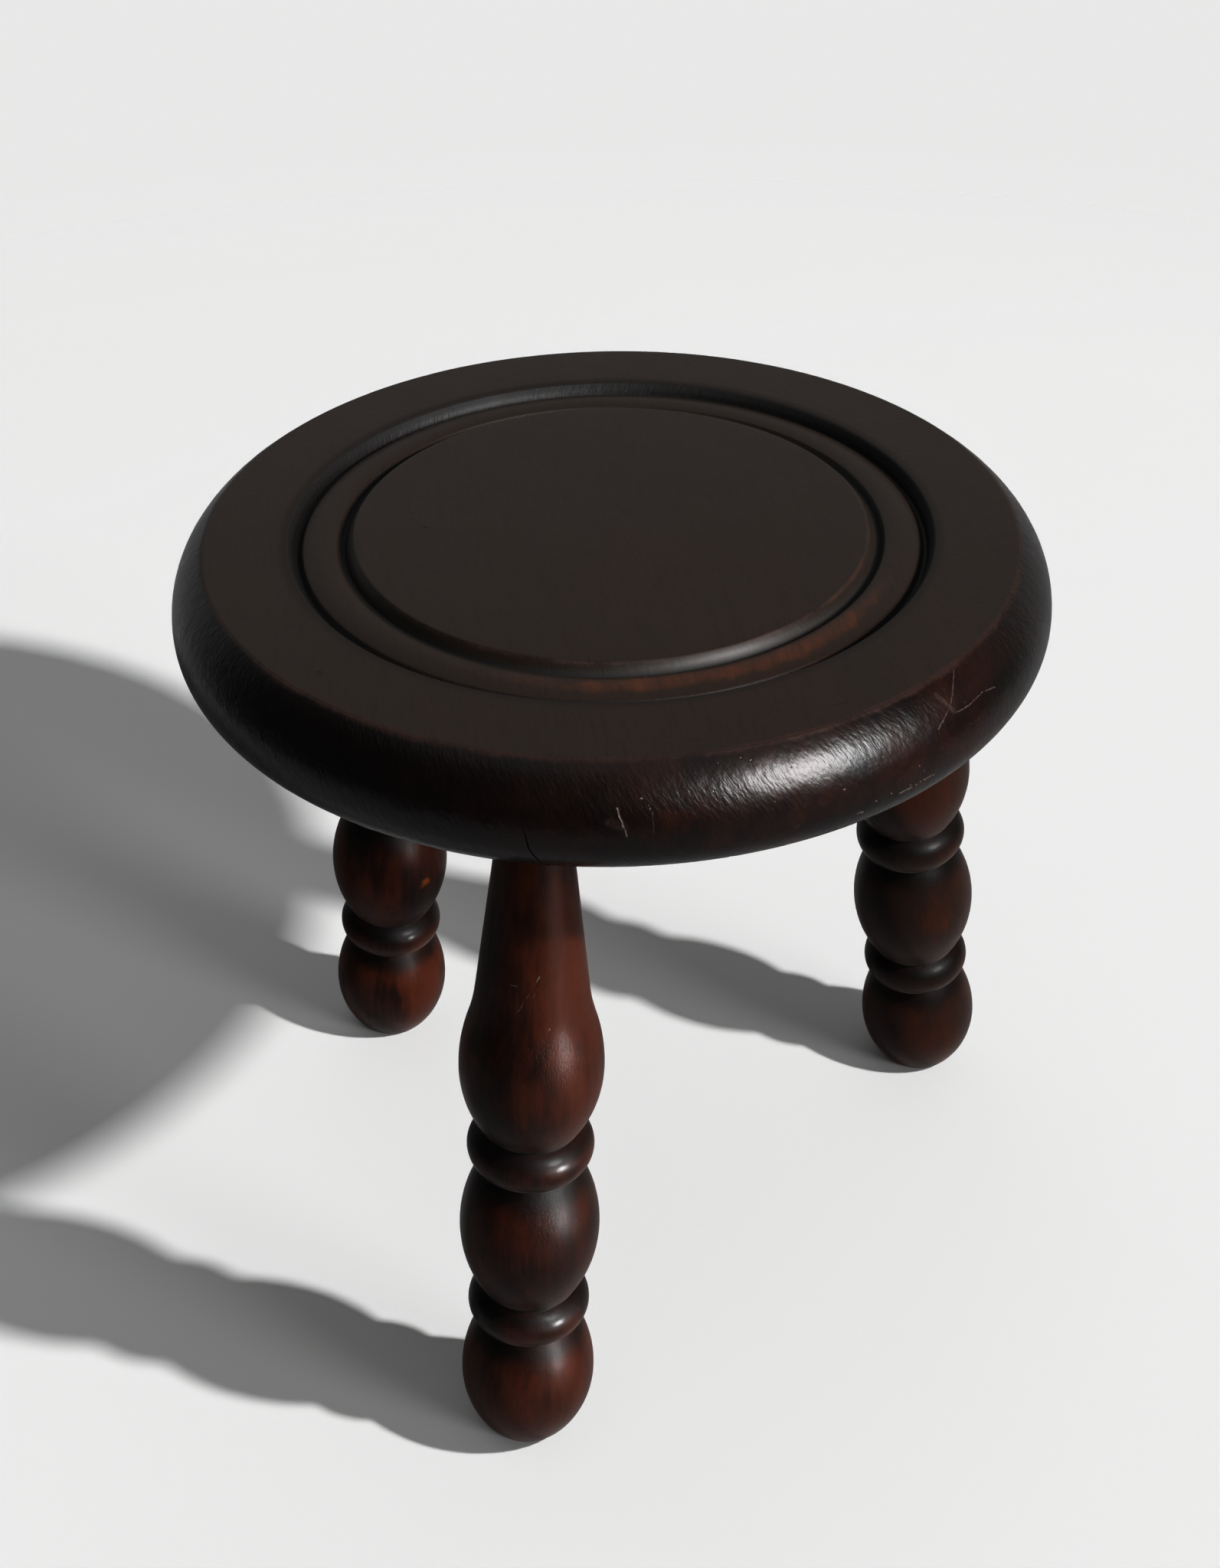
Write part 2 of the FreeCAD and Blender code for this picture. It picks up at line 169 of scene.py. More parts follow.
class SeatSizes(bpy.types.PropertyGroup):
    """Outline of the turned seat."""

    rim_drop: length("Rim drop", 0.0234, "Top down to the rim's widest place")
    rim_overhang: length("Rim overhang", 0.0132, "Rim beyond the edge of the flat top")
    rim_undercut: length("Rim undercut", 0.0152, "Rim beyond the edge of the underside")
    border_width: length("Border", 0.0283, "Flat border between the rim and the moulding")
    border_round: length("Border round", 0.0024, "Width of the border's sloping inner wall")
    outer_depth: length("Outer groove", 0.0052, "Depth of the groove beside the border")
    inner_depth: length("Inner groove", 0.0044, "Depth of the groove beside the panel")
    groove_floor: length("Groove floor", 0.0012, "Width of each groove's floor")
    bead_width: length("Ring width", 0.0116, "Crown of the raised ring between the grooves")
    bead_height: length("Ring height", 0.0021, "Raised ring's edges above the groove floors")
    bead_side: length("Ring side", 0.00165, "Width of each steep side of the raised ring")
    bead_crown: length("Ring crown", 0.02, "Radius across the raised ring")
    panel_round: length("Panel round", 0.0034, "Width of the middle panel's sloping wall")
    wall_round: length("Wall round", 0.014, "Radius down the sloping walls of the border and the panel")
    softness: length("Softness", 0.0003, "How far use has rounded the arrises")
    mortise_inset: length("Mortise inset", 0.0392, "Rim in to the middle of a mortise")
    mortise_cover: length("Mortise cover", 0.014, "Wood left above a mortise")
    split_depth: length("Split depth", 0.012, "How far the split runs into the rim")
    segments: IntProperty(name="Segments", description="Faces round the seat", default=480, min=64)


class LegSizes(bpy.types.PropertyGroup):
    """Outline of a turned leg, from the floor up."""

    foot_end: length("Foot end", 0.0082, "Radius of the foot's end before it is sawn level")
    levelling: length("Levelling", 0.005, "Length sawn off to level the foot")
    ball_rise: length("Ball rise", 0.0272, "Floor up to the widest place of the ball foot")
    ball_radius: length("Ball", 0.0245, "Radius of the ball foot")
    ball_shoulder: length("Ball shoulder", 0.0255, "Ball's widest place up to the lower bead")
    lower_notch: length("Lower notch", 0.0172, "Radius in the notches beside the lower bead")
    lower_bead: length("Lower bead", 0.022, "Radius of the lower bead")
    lower_bead_length: length("Lower bead length", 0.0167, "Lower bead, notch to notch")
    barrel_radius: length("Barrel", 0.0249, "Radius of the barrel")
    barrel_length: length("Barrel length", 0.0551, "Barrel between the beads")
    upper_notch: length("Upper notch", 0.0172, "Radius in the notches beside the upper bead")
    upper_bead: length("Upper bead", 0.0222, "Radius of the upper bead")
    upper_bead_length: length("Upper bead length", 0.017, "Upper bead, notch to notch")
    vase_base: length("Vase base", 0.0255, "Upper bead up to the vase's belly")
    belly_radius: length("Belly", 0.0248, "Radius of the vase's belly")
    vase_shoulder: length("Vase shoulder", 0.0312, "Belly up to the foot of the neck")
    neck_radius: length("Neck", 0.0192, "Radius at the foot of the neck")
    neck_angle: angle("Neck taper", 6.7, "Taper of the neck")
    tenon_radius: length("Tenon", 0.0112, "Radius of the tenon")
    tenon_reveal: length("Tenon reveal", 0.003, "Straight tenon below the seat")
    glue_line: length("Glue line", 0.0001, "Gap between tenon and mortise")
    softness: length("Softness", 0.00022, "How far use has rounded the edges")
    segments: IntProperty(name="Segments", description="Faces round a leg", default=144, min=32)


class Finish(bpy.types.PropertyGroup):
    """Colours of the polish and of the wood under it."""

    seat_top: tint("Seat top", (0.0117, 0.0062, 0.0034), "Dull olive-brown polish of the flat top")
    seat_rim: tint("Seat rim", (0.0016, 0.0007, 0.0004), "Near-black polish of the rim")
    seat_warm: tint("Seat warmth", (0.022, 0.0052, 0.0024), "Red-brown where the rim's polish is thin")
    seat_ring: tint("Seat ring", (0.062, 0.0165, 0.0055), "Rubbed wood of the raised ring")
    seat_worn: tint("Seat wear", (0.034, 0.0105, 0.006), "Wood rubbed bare on the seat's edges")
    leg_polish: tint("Leg polish", (0.0062, 0.0015, 0.0007), "Dark polish of the legs")
    leg_warm: tint("Leg warmth", (0.05, 0.009, 0.003), "Red-brown streaks in the legs")
    # The brown is partly the right leg's duller polish and partly a painted sheen.
    leg_brown_and_sheen: tint("Leg brown", (0.02, 0.011, 0.0075), "Dark polish of a leg that has lost its red")
    leg_bare: tint("Leg bare", (0.26, 0.055, 0.008), "Orange wood where a leg's polish is gone")
    leg_worn: tint("Leg wear", (0.095, 0.0195, 0.0048), "Orange wood where the polish is rubbed thin")
    # The grime colour darkens pores and pits, and also paints shade into the notches, the grooves and the
    # walls of the split.
    grime_and_shade: tint("Grime", (0.0012, 0.0008, 0.0006), "Old wax and dirt in the notches")
    scratch: tint("Scratch", (0.24, 0.165, 0.14), "Pale scratches in the polish")
    raw_wood: tint("Raw wood", (0.36, 0.2, 0.09), "Unpolished wood of the wedges")
    seat_gloss: amount("Seat gloss", 0.28, "Specular level of the seat's polish")
    leg_gloss: amount("Leg gloss", 0.075, "Specular level of the legs' polish")
    seat_roughness: amount("Seat roughness", 0.29, "Roughness of the seat's polish")
    leg_roughness: amount("Leg roughness", 0.35, "Roughness of the legs' rubbed polish")
    leg_bloom: amount("Leg bloom", 0.1, "Weight of the old wax that greys the legs' edges")
    bloom_roughness: amount("Bloom roughness", 0.4, "Roughness of the old wax's bloom")
    bloom: tint("Bloom", (1.0, 0.82, 0.74), "Colour of the old wax's bloom")
    wax_roughness: amount("Wax roughness", 0.18, "Roughness of the thicker polish on the beads")


class Stage(bpy.types.PropertyGroup):
    """Floor, light and camera."""

    floor: tint("Floor", (0.81, 0.81, 0.807), "Pale paper under the stool, as the camera sees it")
    dim_floor: tint("Dim floor", (0.24, 0.24, 0.24), "The paper as the stool's polish sees it")
    pale: tint("Pale", (0.81, 0.81, 0.807), "Pale paper all round, as the camera sees it")
    floor_radius: length("Floor", 1.4, "Radius of the paper on the floor")
    room: amount("Room", 0.045, "Dim light of the room all round")
    backdrop: amount("Backdrop", 0.25, "Light from behind the stool")
    overhead: amount("Overhead", 0.34, "Soft light from above")
    key: amount("Key", 0.768, "Light that the key lamp puts on the floor, where 1 is white")
    key_away: length("Key distance", 1.0, "Key lamp from the middle of the stool")
    key_turn: angle("Key turn", -23.1, "Key lamp, round from +X")
    key_rise: angle("Key rise", 39.2, "Key lamp above the middle of the stool")
    key_size: length("Key size", 0.022, "Radius of the key lamp")
    window: amount("Window", 50, "Brightness of the window that shows in the polish")
    window_turn: angle("Window turn", -43, "Window, round from +X")
    window_rise: angle("Window rise", 30.5, "Window above the middle of the stool")
    window_width: length("Window width", 0.6, "Width of the window")
    window_height: length("Window height", 0.58, "Height of the window")
    window_away: length("Window distance", 1.6, "Window from the middle of the stool")
    fill: amount("Fill", 0.36, "Light that the low fill puts on a face turned to it, where 1 is white")
    fill_away: length("Fill distance", 5.0, "Fill from the middle of the stool")
    fill_turn: angle("Fill turn", -35, "Fill, round from +X")
    fill_rise: angle("Fill rise", 12, "Fill above the middle of the stool")
    fill_size: length("Fill size", 1.5, "Width of the fill")
    strip: amount("Strip", 3.2, "Brightness of the low strip lamp that shows in the legs")
    strip_away: length("Strip distance", 0.6, "Strip from the front leg")
    strip_turn: angle("Strip turn", -36, "Strip, round from +X")
    strip_up: length("Strip height", 0.1, "Middle of the strip above the floor")
    strip_size: length("Strip size", 0.2, "Width and height of the strip")
    strip_beam: angle("Strip beam", 21, "Whole angle of the strip's beam, which passes under the seat")
    camera_back: length("Camera back", 0.6193, "Camera in front of the seat's axis")
    camera_up: length("Camera up", 0.3443, "Camera above the top of the seat")
    camera_pitch: angle("Pitch", 36.46, "Camera downwards")
    camera_yaw: angle("Yaw", -0.15, "Camera to the right")
    camera_roll: angle("Roll", 0.97, "Camera about its view")
    camera_lens: amount("Lens", 46.49, "Focal length in millimetres over a frame 36 mm high")


class StoolSettings(bpy.types.PropertyGroup):
    """All settings of the stool."""

    seat: PointerProperty(type=SeatSizes)
    leg: PointerProperty(type=LegSizes)
    finish: PointerProperty(type=Finish)
    stage: PointerProperty(type=Stage)


def settings():
    """The stool's settings in this scene."""
    return bpy.context.scene.stool


# Outlines

def level_arc(level, other, steps=24):
    """Points of the arc through both points that stands upright at the level one, from level to other."""
    across = level[0] - other[0]
    up = other[1] - level[1]
    radius = (across * across + up * up) / (2 * across)
    centre = (level[0] - radius, level[1])
    turn = math.atan2(up, (other[0] - centre[0]) * math.copysign(1, radius))
    angles = [turn * step / steps for step in range(steps + 1)]
    return [(centre[0] + radius * math.cos(a), level[1] + abs(radius) * math.sin(a)) for a in angles]


def chord_arc(start, end, radius, steps=24):
    """Points of the arc of a radius from start to end, bulging upwards."""
    middle = ((start[0] + end[0]) / 2, (start[1] + end[1]) / 2)
    half = math.dist(start, end) / 2
    drop = math.sqrt(radius * radius - half * half)
    normal = ((end[1] - start[1]) / (2 * half), (start[0] - end[0]) / (2 * half))
    centre = (middle[0] - normal[0] * drop, middle[1] - normal[1] * drop)
    if centre[1] > middle[1]:
        centre = (middle[0] + normal[0] * drop, middle[1] + normal[1] * drop)
    first = math.atan2(start[1] - centre[1], start[0] - centre[0])
    last = math.atan2(end[1] - centre[1], end[0] - centre[0])
    angles = [first + (last - first) * step / steps for step in range(steps + 1)]
    return [(centre[0] + radius * math.cos(a), centre[1] + radius * math.sin(a)) for a in angles]


def cyma(belly, neck, angle, steps=24):
    """Points of two equal tangent arcs, upright at the belly and leaning in by the angle at the neck."""
    across = neck[0] - belly[0]
    up = neck[1] - belly[1]
    square = 2 * math.cos(angle) - 2
    plain = 2 * (across * (1 + math.cos(angle)) + up * math.sin(angle))
    rest = across * across + up * up
    radius = 2 * rest / (-plain + math.sqrt(plain * plain - 4 * square * rest))
    low = (belly[0] - radius, belly[1])
    high = (neck[0] + radius * math.cos(angle), neck[1] + radius * math.sin(angle))
    meet = ((low[0] + high[0]) / 2, (low[1] + high[1]) / 2)
    rise = math.atan2(meet[1] - low[1], meet[0] - low[0])
    swell = [rise * step / steps for step in range(steps + 1)]
    sweep = [rise + (angle - rise) * step / steps for step in range(1, steps + 1)]
    points = [(low[0] + radius * math.cos(a), low[1] + radius * math.sin(a)) for a in swell]
    points += [(high[0] - radius * math.cos(a), high[1] - radius * math.sin(a)) for a in sweep]
    return points


def softened(points, softness, turn=5 * DEGREE, stride=0.006, fine=0.00005):
    """The outline with its corners rounded by use, and points close together only where it turns."""
    corners = np.array(points)
    keep = np.append(True, np.linalg.norm(np.diff(corners, axis=0), axis=1) > 1e-7)
    corners = corners[keep]
    along = np.append(0, np.cumsum(np.linalg.norm(np.diff(corners, axis=0), axis=1)))
    count = int(along[-1] / fine)
    places = np.linspace(0, along[-1], count)
    dense = np.stack([np.interp(places, along, corners[:, k]) for k in range(2)], axis=1)
    reach = int(3 * softness / fine)
    weights = np.exp(-0.5 * (np.arange(-reach, reach + 1) * fine / softness) ** 2)
    weights /= weights.sum()
    before = 2 * dense[0] - dense[reach:0:-1]
    after = 2 * dense[-1] - dense[-2:-reach - 2:-1]
    padded = np.concatenate([before, dense, after])
    smooth = np.stack([np.convolve(padded[:, k], weights, mode="valid") for k in range(2)], axis=1)
    smooth[0], smooth[-1] = dense[0], dense[-1]
    steps = np.diff(smooth, axis=0)
    heading = np.unwrap(np.arctan2(steps[:, 1], steps[:, 0]))
    effort = np.append(0, np.cumsum(np.linalg.norm(steps, axis=1) / stride))
    effort[1:] += np.append(0, np.cumsum(np.abs(np.diff(heading)))) / turn
    wanted = np.linspace(0, effort[-1], int(math.ceil(effort[-1])) + 1)
    chosen = np.unique(np.searchsorted(effort, wanted).clip(0, count - 1))
    return smooth[chosen]


def seat_outline(sizes):
    """Half outline of the seat, from the middle of its underside to that of its top, and marked places."""
    top = SEAT_THICKNESS
    flat_edge = SEAT_RADIUS - sizes.rim_overhang
    border_edge = flat_edge - sizes.border_width
    outer_floor = border_edge - sizes.border_round
    bead_foot_out = outer_floor - sizes.groove_floor
    bead_out = bead_foot_out - sizes.bead_side
    bead_in = bead_out - sizes.bead_width
    bead_foot_in = bead_in - sizes.bead_side
    inner_floor = bead_foot_in - sizes.groove_floor
    panel_edge = inner_floor - sizes.panel_round
    outer_low = top - sizes.outer_depth
    inner_low = top - sizes.inner_depth
    underside_edge = (SEAT_RADIUS - sizes.rim_undercut, 0)
    rim = (SEAT_RADIUS, top - sizes.rim_drop)
    points = [(0, 0)]
    points += level_arc(rim, underside_edge)[::-1]
    points += level_arc(rim, (flat_edge, top))
    points += chord_arc((border_edge, top), (outer_floor, outer_low), sizes.wall_round)
    points += [(bead_foot_out, outer_low)]
    points += chord_arc(
        (bead_out, outer_low + sizes.bead_height), (bead_in, inner_low + sizes.bead_height), sizes.bead_crown
    )
    points += [(bead_foot_in, inner_low)]
    points += chord_arc((inner_floor, inner_low), (panel_edge, top), sizes.wall_round)
    points += [(0, top)]
    # Each marked place has a radius, a height and a reach.
    worn = (
        (flat_edge + 0.001, top - 0.0003, 0.0026),
        (panel_edge + 0.0008, top - 0.0004, 0.0016),
        (border_edge - 0.0004, top - 0.0004, 0.0007),
    )
    # Dirt with painted shade: the groove floors and the outer groove's wall are darkened.
    dirt_and_shade = (
        ((outer_floor + bead_foot_out) / 2, outer_low, 0.0021),
        ((outer_floor + border_edge) / 2, top - 0.0012, 0.003),
        ((inner_floor + bead_foot_in) / 2, inner_low, 0.0023),
    )
    return points, worn, dirt_and_shade


def leg_outline(sizes, reach, tenon_end):
    """Half outline of a leg from its end up, height 0 at the seat's underside, and its marked places."""
    ball = (sizes.ball_radius, sizes.ball_rise - reach)
    notch = [(sizes.lower_notch, ball[1] + sizes.ball_shoulder)]
    notch.append((sizes.lower_notch, notch[0][1] + sizes.lower_bead_length))
    notch.append((sizes.upper_notch, notch[1][1] + sizes.barrel_length))
    notch.append((sizes.upper_notch, notch[2][1] + sizes.upper_bead_length))
    lower_bead = (sizes.lower_bead, notch[0][1] + sizes.lower_bead_length / 2)
    barrel = (sizes.barrel_radius, notch[1][1] + sizes.barrel_length / 2)
    upper_bead = (sizes.upper_bead, notch[2][1] + sizes.upper_bead_length / 2)
    belly = (sizes.belly_radius, notch[3][1] + sizes.vase_base)
    neck = (sizes.neck_radius, belly[1] + sizes.vase_shoulder)
    end = -reach - sizes.levelling
    points = [(0, end), (sizes.foot_end, end)]
    lows = [points[-1], *notch]
    for swelling, below, above in zip((ball, lower_bead, barrel, upper_bead), lows, notch):
        points += level_arc(swelling, below)[::-1]
        points += level_arc(swelling, above)
    points += level_arc(belly, notch[3])[::-1]
    points += cyma(belly, neck, sizes.neck_angle)
    points += [(sizes.tenon_radius, -sizes.tenon_reveal), (sizes.tenon_radius, tenon_end), (0, tenon_end)]
    # Each marked place has a radius, a height and a reach.
    worn = (
        (lower_bead[0], lower_bead[1] - 0.002, 0.004),
        (upper_bead[0], upper_bead[1] - 0.002, 0.004),
        (*barrel, 0.017),
        (*ball, 0.014),
        (*belly, 0.02),
        (neck[0], neck[1] + 0.012, 0.03),
    )
    # Dirt with painted shade: each notch, and the top of the swelling under it, is darkened.
    dirt_and_shade = tuple((*place, 0.0014) for place in notch)
    dirt_and_shade += tuple((radius + 0.0022, height - 0.003, 0.0048) for radius, height in notch)
    waxed = tuple((*bead, 0.006) for bead in (lower_bead, upper_bead))
    return points, worn, dirt_and_shade, waxed


# Meshes

class Nodes:
    """Adds and joins the nodes of one tree."""

    def __init__(self, tree):
        self.tree = tree

    def add(self, kind, inputs=None, **choices):
        """A node with its choices set and its inputs joined or filled."""
        node = self.tree.nodes.new(kind)
        for name, choice in choices.items():
            setattr(node, name, choice)
        self.supply(node, inputs or {})
        return node

    def supply(self, node, inputs):
        """Join or fill some of a node's inputs."""
        for key, given in inputs.items():
            self.feed(node.inputs[key], given)

    def feed(self, socket, given):
        """Join a socket to another, or give it a value or a colour."""
        if isinstance(given, bpy.types.NodeSocket):
            self.tree.links.new(given, socket)
        elif socket.type == "RGBA":
            socket.default_value = (*given, 1.0)
        else:
            socket.default_value = given

    def math(self, operation, first, second=0.0, clamp=False):
        """One sum on one or two values."""
        node = self.add("ShaderNodeMath", {0: first, 1: second}, operation=operation, use_clamp=clamp)
        return node.outputs[0]

    def plus(self, first, second):
        """Two values added."""
        return self.math("ADD", first, second)

    def times(self, first, second):
        """Two values multiplied."""
        return self.math("MULTIPLY", first, second)

    def most(self, first, second):
        """The larger of two values."""
        return self.math("MAXIMUM", first, second)

    def raised(self, given, least):
        """A value from 0 to 1 made to run from a least value to 1."""
        return self.plus(least, self.times(given, 1 - least))

    def vector(self, operation, first, second=(0, 0, 0)):
        """One sum on vectors."""
        node = self.add("ShaderNodeVectorMath", {0: first, 1: second}, operation=operation)
        return node.outputs["Value" if operation in {"DOT_PRODUCT", "LENGTH", "DISTANCE"} else "Vector"]

    def stretched(self, vector, factors):
        """A vector times a factor along each axis."""
        return self.vector("MULTIPLY", vector, factors)

    def scaled(self, vector, factor):
        """A vector times a value."""
        node = self.add("ShaderNodeVectorMath", {0: vector, "Scale": factor}, operation="SCALE")
        return node.outputs["Vector"]

    def noise(self, vector, scale, detail=3.0, roughness=0.55):
        """Noise from 0 to 1."""
        inputs = {"Vector": vector, "Scale": scale, "Detail": detail, "Roughness": roughness}
        return self.add("ShaderNodeTexNoise", inputs).outputs[0]

    def shake(self, vector, scale, detail):
        """Noise from 0 to 1 in three channels."""
        inputs = {"Vector": vector, "Scale": scale, "Detail": detail}
        return self.add("ShaderNodeTexNoise", inputs).outputs[1]

    def mask(self, name):
        """One of the piece's stored masks."""
        return self.add("ShaderNodeAttribute", attribute_name=name).outputs["Fac"]

    def stored(self, name):
        """One of the piece's stored vectors."""
        return self.add("ShaderNodeAttribute", attribute_name=name).outputs["Vector"]

    def group(self, group, inputs):
        """A node group set into the tree, as its outputs."""
        return self.add("ShaderNodeGroup", inputs, node_tree=group).outputs

    def ramp(self, given, low, high, bottom=0.0, top=1.0):
        """A smooth step from bottom to top between two values."""
        node = self.add(
            "ShaderNodeMapRange",
            {"Value": given, "From Min": low, "From Max": high, "To Min": bottom, "To Max": top},
            interpolation_type="SMOOTHSTEP",
        )
        return node.outputs["Result"]

    def mix(self, factor, first, second):
        """Two colours mixed."""
        node = self.add("ShaderNodeMix", data_type="RGBA")
        self.supply(node, {0: factor, 6: first, 7: second})
        return node.outputs[2]


FLOAT = "NodeSocketFloat"
VECTOR = "NodeSocketVector"
GEOMETRY = "NodeSocketGeometry"


def new_group(build, name, inputs, outputs, kind):
    """A node group with named sockets, whose builder takes its nodes and inputs and gives its outputs."""
    group = bpy.data.node_groups.new(name, kind)
    for way, sockets in (("INPUT", inputs), ("OUTPUT", outputs)):
        for socket, socket_type in sockets.items():
            group.interface.new_socket(socket, in_out=way, socket_type=socket_type)
    nodes = Nodes(group)
    given = nodes.add("NodeGroupInput").outputs
    nodes.add("NodeGroupOutput", build(nodes, given))
    return group


def node_group(name, inputs, outputs, kind="ShaderNodeTree"):
    """For a group's builder: the group is made when first asked for, and found by its name after that."""
    def keep(build):
        return lambda: bpy.data.node_groups.get(name) or new_group(build, name, inputs, outputs, kind)

    return keep


@node_group(
    "Turning",
    {
        "Outline": GEOMETRY,
        "Segments": "NodeSocketInt",
        "Wobble": FLOAT,
        "Place": VECTOR,
        "Tilt": VECTOR,
        "Material": "NodeSocketMaterial",
    },
    {"Piece": GEOMETRY},
    "GeometryNodeTree",
)
def turning_tree(nodes, given):
    """Geometry nodes that turn an outline round the Z axis and set the turned piece in its place."""
    size = nodes.add("GeometryNodeAttributeDomainSize", {"Geometry": given["Outline"]})
    count = size.outputs["Point Count"]
    columns = nodes.plus(given["Segments"], 1)
    grid = nodes.add("GeometryNodeMeshGrid", {"Vertices X": columns, "Vertices Y": count})
    index = nodes.add("GeometryNodeInputIndex").outputs[0]
    row = nodes.math("MODULO", index, count)
    column = nodes.math("FLOOR", nodes.math("DIVIDE", index, count))
    spot = nodes.add("GeometryNodeInputPosition").outputs[0]
    sample = nodes.add(
        "GeometryNodeSampleIndex",
        {"Geometry": given["Outline"], "Value": spot, "Index": row},
        data_type="FLOAT_VECTOR",
        domain="POINT",
    )
    place = nodes.add("ShaderNodeSeparateXYZ", {0: sample.outputs[0]}).outputs
    part = nodes.math("DIVIDE", nodes.math("MODULO", column, given["Segments"]), given["Segments"])
    angle = nodes.times(part, 2 * math.pi)
    cosine = nodes.math("COSINE", angle)
    sine = nodes.math("SINE", angle)
    way = {"X": cosine, "Y": sine, "Z": nodes.times(place["Z"], WOBBLE_PITCH)}
    uneven = nodes.noise(nodes.add("ShaderNodeCombineXYZ", way).outputs[0], 1.6, 2.0)
    wobble = nodes.times(nodes.math("SUBTRACT", uneven, 0.5), given["Wobble"])
    radius = nodes.times(place["X"], nodes.plus(1, wobble))
    turned = nodes.add(
        "ShaderNodeCombineXYZ",
        {"X": nodes.times(radius, cosine), "Y": nodes.times(radius, sine), "Z": place["Z"]},
    )
    steps = (
        ("GeometryNodeSetPosition", {"Position": turned.outputs[0]}),
        ("GeometryNodeMergeByDistance", {"Distance": 2e-6}),
        ("GeometryNodeTransform", {"Translation": given["Place"], "Rotation": given["Tilt"]}),
        ("GeometryNodeRealizeInstances", {}),
        ("GeometryNodeSetMaterial", {"Material": given["Material"]}),
    )
    shape = grid.outputs[0]
    for kind, inputs in steps:
        shape = nodes.add(kind, {"Geometry": shape, **inputs}).outputs[0]
    return {"Piece": shape}


def new_object(name, mesh):
    """A mesh object in the scene."""
    item = bpy.data.objects.new(name, mesh)
    bpy.context.scene.collection.objects.link(item)
    return item


def object_of(shape, name):
    """A mesh object made of a bmesh, which is freed."""
    mesh = bpy.data.meshes.new(name)
    shape.to_mesh(mesh)
    shape.free()
    return new_object(name, mesh)


def opened(mesh):
    """A mesh opened as a bmesh."""
    shape = bmesh.new()
    shape.from_mesh(mesh)
    return shape


def closed(shape, mesh):
    """Put a bmesh back in its mesh, with its faces turned outwards."""
    bmesh.ops.recalc_face_normals(shape, faces=shape.faces)
    shape.to_mesh(mesh)
    shape.free()


def finished(item, name):
    """The object's mesh with its modifiers worked out, as a new object; the old one is removed."""
    bpy.context.view_layer.update()
    seen = item.evaluated_get(bpy.context.evaluated_depsgraph_get())
    mesh = bpy.data.meshes.new_from_object(seen)
    bpy.data.objects.remove(item)
    mesh.name = name
    return new_object(name, mesh)


def turned_piece(name, outline, segments, wobble, place, tilt, material):
    """A piece turned from its half outline."""
    mesh = bpy.data.meshes.new(name)
    vertices = [(radius, 0, height) for radius, height in outline]
    mesh.from_pydata(vertices, [(k, k + 1) for k in range(len(vertices) - 1)], [])
    item = new_object(f"{name}_outline", mesh)
    tree = turning_tree()
    modifier = item.modifiers.new("Turning", "NODES")
    modifier.node_group = tree
    given = {"Segments": segments, "Wobble": wobble, "Place": place, "Tilt": tilt, "Material": material}
    for socket in tree.interface.items_tree:
        if socket.name in given:
            modifier[socket.identifier] = given[socket.name]
    piece = finished(item, name)
    closed(opened(piece.data), piece.data)
    return piece


def one_material(mesh, material):
    """Give every face of a mesh the one material."""
    mesh.materials.clear()
    mesh.materials.append(material)
    mesh.polygons.foreach_set("material_index", np.zeros(len(mesh.polygons), dtype=np.int32))


def store(mesh, name, values, domain="POINT"):
    """Store a value or a vector on each point or face of a mesh."""
    kind, field = ("FLOAT", "value") if values.ndim == 1 else ("FLOAT_VECTOR", "vector")
    mesh.attributes.new(name, kind, domain).data.foreach_set(field, values.ravel())


def cut_away(piece, cutters, name, material):
    """The piece with the cutters' shapes taken out of it, and a mark on the faces that they leave."""
    bare = bpy.data.materials.new("Bare cut")
    for cutter in cutters:
        cutter.data.materials.append(bare)
        modifier = piece.modifiers.new(cutter.name, "BOOLEAN")
        modifier.object = cutter
        modifier.operation = "DIFFERENCE"
        modifier.solver = "EXACT"
        modifier.material_mode = "TRANSFER"
    result = finished(piece, name)
    for cutter in cutters:
        bpy.data.objects.remove(cutter)
    mesh = result.data
    index = np.zeros(len(mesh.polygons), dtype=np.int32)
    mesh.polygons.foreach_get("material_index", index)
    cut = index == mesh.materials.find(bare.name)
    store(mesh, "cut", cut.astype(np.float32), "FACE")
    one_material(mesh, material)
    bpy.data.materials.remove(bare)
    return result


def saw_level(piece):
    """Saw a leg's foot off level with the floor."""
    shape = opened(piece.data)
    everything = shape.verts[:] + shape.edges[:] + shape.faces[:]
    bmesh.ops.bisect_plane(shape, geom=everything, plane_co=(0, 0, 0), plane_no=(0, 0, 1), clear_inner=True)
    open_edges = [edge for edge in shape.edges if edge.is_boundary]
    bmesh.ops.contextual_create(shape, geom=open_edges)
    closed(shape, piece.data)


def smooth_with_edges(mesh, angle=55 * DEGREE):
    """Smooth shading, with edges kept where faces meet sharply."""
    mesh.shade_smooth()
    mesh.set_sharp_from_angle(angle=angle)


def closeness(radius, height, places):
    """How near each point is to the nearest marked place, from 0 to 1."""
    near = np.zeros_like(radius)
    for place_radius, place_height, width in places:
        apart = ((radius - place_radius) ** 2 + (height - place_height) ** 2) / width ** 2
        near = np.maximum(near, np.exp(-apart))
    return near


def near(places):
    """A mask that is full at marked places."""
    return lambda radius, height, turn: closeness(radius, height, places)


def lengths(outline):
    """Length along an outline up to each of its points."""
    steps = np.diff(np.array(outline), axis=0)
    return np.concatenate([[0], np.cumsum(np.hypot(steps[:, 0], steps[:, 1]))])


def along_outline(radius, height, outline):
    """How far along the outline each place lies."""
    points = np.array(outline)
    places = np.column_stack([radius, height])
    parts = np.array_split(places, 1 + len(places) // 4000)
    nearest = [np.argmin(((part[:, None] - points) ** 2).sum(2), 1) for part in parts]
    return lengths(outline)[np.concatenate(nearest)]


